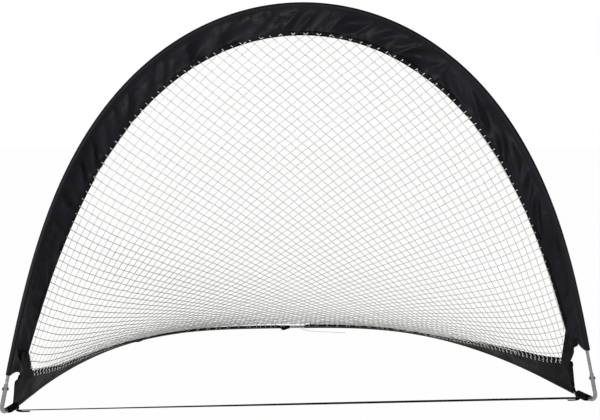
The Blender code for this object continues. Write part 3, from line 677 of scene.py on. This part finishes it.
left_neck, right_neck = necked(1, 0.085, 0.013), necked(-1, 0.045, 0.016)
left_stations, right_stations = twisted(1, 0.075, 2.6), twisted(-1, 0.03, -0.9)
END_LEFT, START_RIGHT = LASH - 4, LASH + 6
sleeve("base_sleeve_cloth_left", "base", "base_sleeve_left", left_stations, left_neck,
       0.0066, 11.0, 0.0030, 0.0040, (0.80, 0.60, 0.060), 0, END_LEFT, 0.0003)
sleeve("base_sleeve_cloth_right", "base", "base_sleeve_right", right_stations, right_neck,
       0.0066, 15.0, 0.0030, 0.0040, (-0.80, 0.60, 0.060), START_RIGHT, STATIONS, 0.0003)
print("ground sleeve ends at x, m:", hoop_place[[END_LEFT, START_RIGHT], 0].round(3))

# %% [markdown]
# ## The binding
# A ribbed tape is folded over the raw edge of both layers and sewn through. Its section is
# a flat U, swept along the same stations, a little outside the cloth.

# %% Bindings
BINDING_REACH = np.array((-0.0128, -0.0126, -0.006, 0.0008, 0.0016, 0.0008, -0.006, -0.0126,
                          -0.0128))
BINDING_HEIGHT = np.array((0.0006, 0.0042, 0.0037, 0.0027, 0.0, -0.0027, -0.0037, -0.0042, -0.0006))


def binding(body, side, stations, width, first, last):
    mark, place, _, band, out = (a[first:last] for a in stations)
    wave = np.array([noise.noise((float(m) / 0.03, 0.0, 60.0)) for m in mark])[:, None] * 0.0006
    reach, height = width[first:last, None] + BINDING_REACH, BINDING_HEIGHT + wave
    points = place[:, None] + band[:, None] * reach[..., None] + out[:, None] * height[..., None]
    points[..., 2] = np.maximum(points[..., 2], 0.0004)
    around = np.linspace(0, 0.03, 9)
    lengths = np.stack(np.broadcast_arrays(mark[:, None], around[None]), -1)
    piece = strip(f"{body}_binding_tape_{side}", points, lengths, ribbon, 0.0006, 1.0)
    stands_for(piece, body, "black_webbing", f"{body}_binding_{side}")


binding("arch", "left", arch_stations, arch_widths, 0, SEAM + 1)
binding("arch", "right", arch_stations, arch_widths, SEAM + 1, STATIONS)
binding("base", "left", left_stations, left_neck, 0, END_LEFT)
binding("base", "right", right_stations, right_neck, START_RIGHT, STATIONS)
print("bindings made")

# %% [markdown]
# ## Cutting the net to the frame
# A knot stays where it is farther from both poles than their bands are wide, and at a
# corner on the inner side of the panel's border. A thread that leaves this space is cut
# there and sewn down: it runs on over the binding for 9 mm, on the side that faces the goal
# mouth, which shows as the row of white ticks. On the ground only one family of threads
# shows its ticks. Along the back the last diamonds are gathered into a comb of straight,
# upright threads.

# %% Room left for the net
arch_tree, hoop_tree = KDTree(STATIONS), KDTree(STATIONS)
for tree, points in ((arch_tree, arch_place), (hoop_tree, hoop_place)):
    for index, point in enumerate(points):
        tree.insert(point, index)
    tree.balance()
comb = 0.036 * smoothstep((0.62 - np.abs(hoop_place[:, 0])) / 0.15) * (hoop_place[:, 1] > 0.2)
SEWN_STATIONS, NET_STATIONS = (10, -11), (50, -51)  # where the panels' borders begin; well inside
NET_CORNERS = (np.array((-0.836, -0.431, 0.080)), np.array((0.840, -0.436, 0.110)))
corner_lines = []
for end, k, corner in zip(SEWN_STATIONS, NET_STATIONS, NET_CORNERS):
    foot = arch_place[end] + arch_band[end] * arch_widths[end]
    slope = unit(corner - foot)
    arch_edge = arch_place[k] + arch_band[k] * arch_widths[k]
    middle = (arch_edge + hoop_place[k] + hoop_band[k] * hoop_width[k]) / 2
    inward = unit((middle - foot) - slope * ((middle - foot) @ slope))
    facing = np.cross(slope, inward)
    facing *= np.sign(facing @ (np.array(camera_place) - corner))
    corner_lines.append((foot, inward, facing))


def room(point):
    """How far inside the bands a point lies, which band is nearer, and the station there."""
    _, a, to_arch = arch_tree.find(point)
    _, h, to_hoop = hoop_tree.find(point)
    side = int(point[0] > 0)
    foot, inward, _ = corner_lines[side]
    return min((to_arch - arch_widths[a] + 0.001, "arch", a),
               ((point - foot) @ inward, "panel", side),
               (to_hoop - hoop_width[h] - comb[h] + 0.001, "hoop", h))


FACING = {"arch": arch_out, "hoop": hoop_out, "panel": [line[2] for line in corner_lines]}
TICK = 0.009


def sewn_end(inner, outer):
    """The points that take a thread from its last knot over the binding."""
    inside, outside = room(inner), room(outer)
    share = inside[0] / max(inside[0] - outside[0], 1e-9)
    edge = inner + (outer - inner) * share
    _, which, k = room(edge)
    if which == "hoop" and comb[k] > 0.004:
        low = hoop_place[k] + hoop_band[k] * (hoop_width[k] + 0.001) + hoop_out[k] * 0.0036
        return [edge, edge * 0.25 + low * 0.75, low, low - hoop_band[k] * TICK]
    out = FACING[which][k]
    way = edge - inner
    way = unit(way - out * (way @ out))
    if which == "hoop" and way[0] * edge[0] < 0:  # this family ends between the layers
        return [edge, edge + way * 0.003]
    return [edge, edge + way * 0.002 + out * 0.0045, edge + way * TICK + out * 0.0048]


# %% Threads as one curve
def new_curve(name, radius, resolution):
    curve = bpy.data.curves.new(name, "CURVE")
    curve.dimensions, curve.bevel_depth, curve.bevel_resolution = "3D", radius, resolution
    curve.use_fill_caps = True
    return curve


def add_spline(curve, points, radii):
    spline = curve.splines.new("POLY")
    spline.points.add(len(points) - 1)
    spline.points.foreach_set("co", np.column_stack([points, np.ones(len(points))]).ravel())
    spline.points.foreach_set("radius", radii)
    return spline


def net_curve(name, lines, knot_places, knot_radius):
    """Every thread is a spline, and every knot a short fat one, in one curve made a mesh."""
    curve = new_curve(name, 1.0, 0)
    for line in lines:
        add_spline(curve, line, np.full(len(line), THREAD))
    for place, way in knot_places:
        spots = [place + way * t for t in (-0.0024, -0.0011, 0.0011, 0.0024)]
        add_spline(curve, spots, [knot_radius * fat for fat in (0.45, 1, 1, 0.45)])
    holder = bpy.data.objects.new(name + "_threads", curve)
    bpy.context.scene.collection.objects.link(holder)
    bpy.context.view_layer.update()
    depsgraph = bpy.context.evaluated_depsgraph_get()
    mesh = bpy.data.meshes.new_from_object(holder.evaluated_get(depsgraph))
    bpy.data.objects.remove(holder)
    mesh.materials.clear()
    mesh.shade_smooth()
    # The net's grey colour is painted shade on white twine.
    return new_object(name, mesh, net_twine_painted_shade)


shown = known & (abs(knots[..., 0] - 0.5) < 0.5) & (abs(knots[..., 1] - 0.5) < 0.5)
for i, j in np.argwhere(shown):
    shown[i, j] = room(places[i, j])[0] > 0


def gathered_lines(places, shown):
    """Runs of knots inside the room, each with its sewn ends, for one family of threads."""
    lines = []
    for row, seen in zip(places, shown):
        run = []
        for index in range(len(row)):
            if seen[index]:
                if not run and index and not np.isnan(row[index - 1, 0]):
                    run += sewn_end(row[index], row[index - 1])[::-1]
                run.append(row[index])
            elif run:
                if not np.isnan(row[index, 0]):
                    run += sewn_end(row[index - 1], row[index])
                lines.append(np.array(run))
                run = []
    return [line for line in lines if len(line) > 2]


THREAD, KNOT = 0.00124, 0.00200
inside_knots = [(places[i, j], unit(places[i + 1, j] - places[i, j]))
                for i, j in np.argwhere(shown) if known[i + 1, j]]
family_a = gathered_lines(places, shown)
family_b = gathered_lines(places.transpose(1, 0, 2), shown.T)
net_a = net_curve("net_threads_a", family_a, inside_knots, KNOT)
net_b = net_curve("net_threads_b", family_b, [], KNOT)
print("threads:", len(family_a), len(family_b), "knots shown:", len(inside_knots),
      "faces:", len(net_a.data.polygons), len(net_b.data.polygons))

# %% [markdown]
# ## How the net folds
# When the arch folds back, the net closes like a fan about the line of the two rivets. So
# each point's share of the turn comes from its angle about that line, between the ground
# band, which stays, and the arch's band, which takes the whole turn. Here the shares are
# worked out for every point of the two net pieces.

# %% Fan shares for the net
HINGE_Y, HINGE_Z = -0.56773, 0.08275
angle = np.arctan2(cloth[..., 2] - HINGE_Z, cloth[..., 1] - HINGE_Y)
share_tree, shares = KDTree(cloth.shape[0] * cloth.shape[1]), []


def arch_gap(point):
    """How far a point is from the arch band's edge, or a lot where another band is nearer."""
    gap, which, _ = room(point)
    return abs(gap) if which == "arch" else 9


top_row = np.array([min(range(33), key=lambda r: arch_gap(column[r])) for column in columns[::8]])
top_row = np.interp(np.arange(len(columns)), np.arange(0, len(columns), 8), top_row)
for c, column in enumerate(columns):
    lines = np.linspace(0, 1, len(column))
    high = np.interp(top_row[c] / (len(column) - 1), lines, angle[:, c])
    low = angle[-4, c]
    for r, point in enumerate(column):
        share_tree.insert(point, len(shares))
        part = (angle[r, c] - low) / max(high - low, 0.2)
        shares.append(min(max(part, 0.0), 1.0))
share_tree.balance()
shares = np.array(shares)


def fan_shares(obj):
    values = []
    for vert in obj.data.vertices:
        found = share_tree.find_n(vert.co, 4)
        weight = np.array([1 / (distance + 1e-4) for _, _, distance in found])
        near = shares[[index for _, index, _ in found]]
        values.append(float((weight * near).sum() / weight.sum()))
    return values


for piece in (net_a, net_b):
    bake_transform(piece)
    fan_shares(piece)
panels = [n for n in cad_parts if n.startswith("net_panel_")]
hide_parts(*panels)
print("net pieces blended:", len(panels), "panels stood for")

# %% [markdown]
# ## Corner panels
# Behind the bare steel tubes a panel joins the two sleeves. It is a Coons patch: a surface
# blended from four border lines, here the arch sleeve's foot, the pole, the ground sleeve's
# end and the hoop. Its free edge is then cut back from the tube as far as the photograph
# shows, which leaves the notch above the rivet.

# %% Corner panels
TUCK, TURN = 0.012, 0.46  # metres under the sleeves, and where the sewn border turns its corner


def distance_to(points, a, b):
    """Distance of points from the segment a-b."""
    t = np.clip(((points - a) @ (b - a)) / ((b - a) @ (b - a)), 0, 1)
    return np.linalg.norm(points - a - t[:, None] * (b - a), axis=1)


def corner_panel(name, side, free_edge):
    def away(line, mark):
        return line.at(mark if side < 0 else line.length - mark)

    s, t = np.linspace(0, 1, 49), np.linspace(0, 1, 33)
    k = SEWN_STATIONS[int(side > 0)]
    top_mark = TUCK + (arch_mark[k] if side < 0 else arch.length - arch_mark[k])
    low_mark = TUCK + (HOOP_LEFT if side < 0 else HOOP_RIGHT)
    top_pole, low_pole = away(arch, top_mark), away(hoop, low_mark)
    top_edge = (arch_place[k] + arch_band[k] * (arch_widths[k] - 0.001)
                + (top_pole - arch_place[k]))
    low_edge = NET_CORNERS[int(side > 0)]
    left = np.stack([away(arch, top_mark * (1 - share)) for share in s])
    right = np.where(s[:, None] < TURN,
                     top_edge + (low_edge - top_edge) * (s / TURN)[:, None],
                     low_edge + (low_pole - low_edge) * ((s - TURN) / (1 - TURN))[:, None])
    top = top_pole + (top_edge - top_pole) * t[:, None]
    bottom = np.stack([away(hoop, low_mark * share) for share in t])
    cut = np.interp(left[:, 2], *zip(*free_edge)) / np.linalg.norm(right - left, axis=1)
    cut = np.clip(cut, 0.03, 0.92)[:, None]
    share = cut + (1 - cut) * t
    S, T = s[:, None, None], share[..., None]
    over, under = (np.stack([np.interp(share, t, line[:, k]) for k in range(3)], -1)
                   for line in (top, bottom))
    grid = ((1 - T) * left[:, None] + T * right[:, None] + (1 - S) * over + S * under
            - (1 - S) * (1 - T) * top[0] - (1 - S) * T * top[-1]
            - S * (1 - T) * bottom[0] - S * T * bottom[-1])
    for index in np.ndindex(share.shape):
        x, y, z = grid[index] * 34
        wave = noise.noise((x, y, z + 9)) * 0.0035
        grid[index][1] += wave * math.sin(math.pi * float(s[index[0]]))
    grid[..., 2] = np.maximum(grid[..., 2], 0.0015)
    size = np.stack(np.meshgrid(t * 0.1, s * 0.14), -1)
    # The panel takes the darker copy of the nylon: painted shade.
    piece = strip(f"corner_panel_{name}", grid, size, nylon_painted_shade, 0.0012, 0.0)
    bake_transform(piece)
    points = np.array([v.co for v in piece.data.vertices])
    to_base = distance_to(points, low_edge, low_pole)
    to_arch = distance_to(points, top_pole, top_edge)
    share = to_base / (to_base + to_arch)
    stands_for(piece, None, "black_nylon", f"corner_gusset_{name}")


# How far back from the pole the free edge is, by height: (height, distance) in metres.
LEFT_EDGE = ((0.008, 0.064), (0.024, 0.060), (0.087, 0.044), (0.099, 0.042), (0.104, 0.047),
             (0.107, 0.062), (0.113, 0.068), (0.121, 0.060), (0.140, 0.057))
RIGHT_EDGE = ((0.013, 0.109), (0.031, 0.117), (0.091, 0.112), (0.115, 0.098), (0.141, 0.076),
              (0.156, 0.063), (0.177, 0.055), (0.187, 0.045), (0.196, 0.022))
corner_panel("left", -1, LEFT_EDGE)
corner_panel("right", 1, RIGHT_EDGE)
print("corner panels made")

# %% [markdown]
# ## The front tape
# A flat tape ties the arch's feet together, so that the arch can't spread. It is pulled
# taut and turns slowly along its length, from lying flat on the left to standing on edge
# on the right. Its length is the whole distance between its two knots.

# %% Front tape
KNOT_X, KNOT_Y = 0.8657, -0.5155
TAPE_WIDE, TAPE_THICK = 0.0065, 0.0012
run = np.linspace(-KNOT_X, KNOT_X, 97)
eased = smoothstep((run + KNOT_X) / (2 * KNOT_X))
turn = np.radians(80) * eased
reach = np.linspace(-0.5, 0.5, 7) * TAPE_WIDE
height = 0.0022 + 0.0022 * eased
tape_places = np.stack([np.broadcast_to(run[:, None], (97, 7)),
                        KNOT_Y + reach * np.cos(turn)[:, None],
                        height[:, None] + reach * np.sin(turn)[:, None]], -1)
tape_lengths = np.stack(np.broadcast_arrays(run[:, None], reach[None]), -1)
tape = strip("front_tape_webbing", tape_places, tape_lengths, webbing, TAPE_THICK, 0.0)
stands_for(tape, "base", "black_webbing", "front_tape")
print("front tape, m:", round(2 * KNOT_X, 3))

# %% [markdown]
# ## The lashing and its loose end
# At the back the two halves of the ground sleeve are laced to the pole with grey twine. It
# is wound one way and then back across itself, which looks braided. Its loose end trails
# into the goal along the ground, limp, in one slow curve. Its length is what is seen of it.

# %% Twine helpers
def tube_curve(name, points, radius, finish):
    curve = new_curve(name, radius, 2)
    add_spline(curve, points, np.ones(len(points))).use_smooth = True
    obj = bpy.data.objects.new(name, curve)
    curve.materials.append(finish)
    bpy.context.scene.collection.objects.link(obj)
    return obj


def rounded(knots, steps):
    """A Catmull-Rom curve through the knots."""
    ends = [2 * knots[0] - knots[1], *knots, 2 * knots[-1] - knots[-2]]
    points = []
    for a, b, c, d in zip(ends, ends[1:], ends[2:], ends[3:]):
        for t in np.arange(steps) / steps:
            points.append(0.5 * (2 * b + (c - a) * t + (2 * a - 5 * b + 4 * c - d) * t ** 2
                                 + (3 * b - a - 3 * c + d) * t ** 3))
    return np.array([*points, knots[-1]])


# %% Loose end
TWINE = 0.0009
from_lash = np.abs(hoop.points[:, 0] - 0.0576) + (hoop.points[:, 1] < 0) * 9
lash_mark = hoop.marks[np.argmin(from_lash)]
lash_middle = hoop.at(lash_mark)
lash_along = unit(hoop.at(lash_mark + 0.01) - hoop.at(lash_mark - 0.01))
wind_radius = 0.0035 + 0.0005 + TWINE
route = [lash_middle + lash_along * 0.0196 - np.array((0, 0, wind_radius))]
route += [np.array((lash_middle[0] + x, lash_middle[1] + y, TWINE + 0.0002)) for x, y in
          ((0.021, -0.016), (0.030, -0.036), (0.055, -0.060), (0.095, -0.077), (0.145, -0.090),
           (0.195, -0.108))]
tail_path = rounded(route, 8)
tail = tube_curve("loose_twine", tail_path, TWINE, grey_twine)
stands_for(tail, "base", "grey_twine", "lashing_tail")

# %% Winding
winding = []
for way, radius in ((1, wind_radius), (-1, wind_radius + 2 * TWINE)):
    for k in np.linspace(-1, 1, 13 * 9):
        mark = lash_mark + 0.006 + k * way * 0.030
        angle = math.tau * 6.5 * k * way
        side = np.cross((0, 0, 1.0), lash_along)
        spoke = side * math.sin(angle) + np.array((0, 0, math.cos(angle)))
        winding.append(hoop.at(mark) + radius * spoke)
winding = np.array(winding)
winding[:, 2] = np.maximum(winding[:, 2], TWINE + 0.0003)
lashing = tube_curve("twine_winding", winding, TWINE, grey_twine)
stands_for(lashing, "base", "grey_twine", "rear_lashing")
print("winding points:", len(winding))

# %% [markdown]
# ## Webbing round the corner legs
# A strip of webbing is wound five times round each steel leg, and the front tape is knotted
# to it. The strip is swept along a helix. The knot is a trefoil curve, the shape of a plain
# overhand knot pulled into a ball, made of the same flat strip. Three tails stick out of it.

# %% Webbing strip along a path
def webbing_along(name, path, normals, wide, finish, thick=0.0011):
    along = unit(np.gradient(path, axis=0))
    flat_way = unit(np.cross(along, normals))
    reach = np.linspace(-0.5, 0.5, 5) * wide
    crown = (1 - (reach / wide * 2) ** 2) * 0.0004
    points = (path[:, None] + flat_way[:, None] * reach[None, :, None]
              + normals[:, None] * crown[None, :, None])
    marks = np.concatenate([[0], np.cumsum(np.linalg.norm(np.diff(path, axis=0), axis=1))])
    lengths = np.stack(np.broadcast_arrays(marks[:, None], reach[None]), -1)
    return strip(name, points, lengths, finish, thick, 0.0)


def leg_winding(name, side, inner):
    """Turns of webbing round the leg, looser where they begin."""
    first, last, turns = 0.031, 0.0985, 5.25
    path, normals = [], []
    for k in np.linspace(0, 1, 130):
        mark = first + (last - first) * (0.13 + 0.74 * k)
        mark = mark if side < 0 else hoop.length - mark
        way = unit(hoop.at(mark + 0.003) - hoop.at(mark - 0.003))
        flank = unit(np.cross((0, 0, 1.0), way))
        angle = math.tau * turns * k + 0.6
        normal = flank * math.sin(angle) + np.array((0, 0, math.cos(angle)))
        radius = inner + 0.0028 * abs(math.sin(k * 17)) * (1 - k * 0.5)
        spot = hoop.at(mark) + normal * radius
        spot[2] = max(spot[2], 0.0018)
        path.append(spot)
        normals.append(normal)
    piece = webbing_along(f"leg_webbing_{name}", np.array(path), np.array(normals), 0.0125, webbing)
    stands_for(piece, "base", "black_webbing", f"corner_loop_{name}")


TAILS = (((-0.004, -0.004, -0.003), (-0.016, -0.012, -0.006), (-0.022, -0.020, -0.0075)),
         ((0.002, -0.004, -0.004), (0.012, -0.013, -0.0066), (0.042, -0.014, -0.0085)),
         ((-0.002, 0.002, 0.006), (-0.008, 0.010, 0.010), (-0.016, 0.017, 0.007)))


def tape_knot(name, side):
    low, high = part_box(f"tape_knot_{name}")
    centre = np.array((low + high) / 2)
    t = np.linspace(0.25, math.tau - 0.25, 90)
    curl = np.stack([np.sin(t) + 2 * np.sin(2 * t), np.cos(t) - 2 * np.cos(2 * t),
                     -np.sin(3 * t)], 1)
    curl = curl * (0.0023, 0.0024, 0.0026)
    path = centre + curl + (0, 0, 0.0012)
    normals = unit(curl + (0, 0, 1e-6))
    piece = webbing_along(f"tape_knot_webbing_{name}", path, normals, 0.0056, webbing, 0.0016)
    stands_for(piece, "base", "black_webbing", f"tape_knot_{name}")
    for number, points in enumerate(TAILS, 1):
        path = rounded([centre + np.array(p) * (-side, 1, 1) for p in points], 8)
        path[:, 2] = np.maximum(path[:, 2], 0.0011)
        way = np.gradient(path, axis=0)
        normals = unit(np.cross(np.cross(unit(way), (0, 0, 1.0)), way))
        piece = webbing_along(f"webbing_tail_{name}_{number}", path, normals, 0.0100, webbing, 0.0013)
        stands_for(piece, "base", "black_webbing")
    print(name, "knot at, mm:", (centre * 1000).round(1))


for name, side, inner in (("left", -1, 0.0090), ("right", 1, 0.0106)):
    leg_winding(name, side, inner)
    tape_knot(name, side)

# %% [markdown]
# ## Metal and rods
# The bent corner tubes, the arch's end tubes, the ferrules and the glass-fibre rods have
# their right shape in the CAD model already. They keep it, and only get the real finishes.
# The two rivets are small lathe shapes: a shank, a washer and a domed head on each side,
# spun from one outline and mirrored.

# %% Rivets
RIVET_PROFILE = ((0.0017, 0.0), (0.0017, 0.0062), (0.0052, 0.0062), (0.0052, 0.0070),
                 (0.0048, 0.0070), (0.0048, 0.0074), (0.0045, 0.0084), (0.0034, 0.0092),
                 (0.0018, 0.0097), (0.0, 0.0098))
for name in ("left", "right"):
    low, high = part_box(f"pivot_rivet_{name}")
    bm = bmesh.new()
    points = [bm.verts.new((0.0, r, x)) for r, x in RIVET_PROFILE]
    edges = [bm.edges.new(pair) for pair in zip(points, points[1:])]
    bmesh.ops.spin(bm, geom=points + edges, cent=(0, 0, 0), axis=(0, 0, 1), angle=math.tau,
                   steps=28, use_merge=True)
    bmesh.ops.mirror(bm, geom=bm.verts[:] + bm.edges[:] + bm.faces[:], axis="Z", merge_dist=1e-6)
    bmesh.ops.remove_doubles(bm, verts=bm.verts, dist=1e-6)
    bmesh.ops.recalc_face_normals(bm, faces=bm.faces)
    bm.verts.index_update()
    in_order = sorted(bm.faces, key=lambda face: sorted(v.index for v in face.verts))
    order = {face: n for n, face in enumerate(in_order)}
    bm.faces.sort(key=lambda face: order[face])  # spin leaves its faces in no fixed order
    middle = Matrix.Translation((low + high) / 2)
    bmesh.ops.transform(bm, verts=bm.verts, matrix=middle @ Matrix.Rotation(math.pi / 2, 4, "Y"))
    mesh = bpy.data.meshes.new(f"rivet_{name}")
    bm.to_mesh(mesh)
    bm.free()
    mesh.shade_smooth()
    rivet = new_object(f"domed_rivet_{name}", mesh, rivet_steel)
    stands_for(rivet, "base", "dark_rivet_steel", f"pivot_rivet_{name}")
print("rivet across, mm:", round((high - low).x * 1000, 1))

# %% Finishes of the CAD nodes
FINISHES = {"corner_elbow": zinc, "arch_end_tube": zinc, "base_ferrule": zinc,
            "arch_ferrule": zinc, "base_rod": glass_rod, "arch_rod": glass_rod}
painted = 0
for name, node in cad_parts.items():
    finish = next((f for start, f in FINISHES.items() if name.startswith(start)), None)
    if finish:
        for spot in node.material_slots:
            spot.material = finish
        if not node.material_slots:
            node.data.materials.append(finish)
        painted += 1
print("CAD nodes finished:", painted)

# %% [markdown]
# ## Floor and light
# The photograph has a plain white ground with no edge. The floor here is white cardboard,
# which still takes the goal's shadow. To the camera and in mirrors, nearly all of its white
# comes from Light Path's rays, so it needs no more light than the goal does. Two soft lamps
# stand low, one to the left and one in front of the goal, so each fold has a lit flank and
# a dark one. A dim white sky fills the rest. In mirrors the sky is white straight behind
# the goal and grey elsewhere, as in a studio.

# %% World
scene = bpy.context.scene
scene.view_settings.view_transform = "Standard"
world = bpy.data.worlds.new("studio_white")
world.use_nodes = True
scene.world = world


def seen_directly(tree):
    """1 for rays that the eye follows: from the camera, off metal, through glass."""
    path = add_node(tree, "ShaderNodeLightPath")
    either = path.outputs["Is Camera Ray"]
    for ray in ("Is Glossy Ray", "Is Transmission Ray"):
        either = add_node(tree, "ShaderNodeMath", [(0, either), (1, path.outputs[ray])],
                          operation="MAXIMUM").outputs["Value"]
    return either


SKY, FLOOR_GLOW = 0.17, 0.985
tree = world.node_tree
sky = tree.nodes["Background"]
sky.inputs["Color"].default_value = linear("#ffffff")
direction = add_node(tree, "ShaderNodeTexCoord")
towards = add_node(tree, "ShaderNodeSeparateXYZ", [("Vector", direction.outputs["Generated"])])
behind = add_node(tree, "ShaderNodeMapRange", [("Value", towards.outputs["Y"])],
                  {"From Min": 0.80, "From Max": 0.96, "To Min": 0.2, "To Max": 1.0})
paths = add_node(tree, "ShaderNodeLightPath")
mirrored = add_node(tree, "ShaderNodeMix",
                    [("Factor", paths.outputs["Is Glossy Ray"]), ("B", behind.outputs["Result"])],
                    {"A": 1.0})
sky_level = add_node(tree, "ShaderNodeMapRange",
                     [("Value", seen_directly(tree)), ("To Max", mirrored.outputs["Result"])],
                     {"To Min": SKY})
world.node_tree.links.new(sky_level.outputs["Result"], sky.inputs["Strength"])

# %% Floor
bm = bmesh.new()
bmesh.ops.create_grid(bm, x_segments=1, y_segments=1, size=30)
bmesh.ops.translate(bm, verts=bm.verts, vec=(0, 0, -0.0005))
floor_mesh = bpy.data.meshes.new("floor")
bm.to_mesh(floor_mesh)
bm.free()
card, tree, shader = new_material("card_white_matt", "#f4f4f4", 0.9)
glow = add_node(tree, "ShaderNodeEmission", inputs={"Color": linear("#ffffff"), "Strength": 1.0})
amount = add_node(tree, "ShaderNodeMath", [(0, seen_directly(tree))], operation="MULTIPLY")
amount.inputs[1].default_value = FLOOR_GLOW
mix = add_node(tree, "ShaderNodeMixShader",
               [("Fac", amount.outputs["Value"]), (1, shader.outputs["BSDF"]),
                (2, glow.outputs["Emission"])])
tree.links.new(mix.outputs["Shader"], tree.nodes["Material Output"].inputs["Surface"])
floor = new_object("floor", floor_mesh, card)
floor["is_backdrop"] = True

# %% Lamps
def soft_lamp(name, place, aim, side, watts):
    data = bpy.data.lights.new(name, "AREA")
    data.shape, data.size, data.energy = "SQUARE", side, watts
    obj = bpy.data.objects.new(name, data)
    scene.collection.objects.link(obj)
    obj.location = place
    obj.rotation_euler = (Vector(aim) - Vector(place)).to_track_quat("-Z", "Y").to_euler()


soft_lamp("soft_side", (-3.6, -2.9, 0.7), (0, -0.3, 0.9), 0.6, 130)
soft_lamp("soft_front", (-0.4, -4.7, 0.6), (0, -0.2, 1.1), 0.7, 165)

# %% [markdown]
# ## Sizes, and the end
# The looks may stand a little proud of the CAD model, as fabric does, but no more. Both
# boxes are measured, and how far the looks grow past the CAD model is printed.

# %% Write the sizes and finish
looks_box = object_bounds()
grown = [round((b - a) * 1000, 1) for pair in zip(cad_box, looks_box) for a, b in zip(*pair)]
print("grown by, mm:", grown)
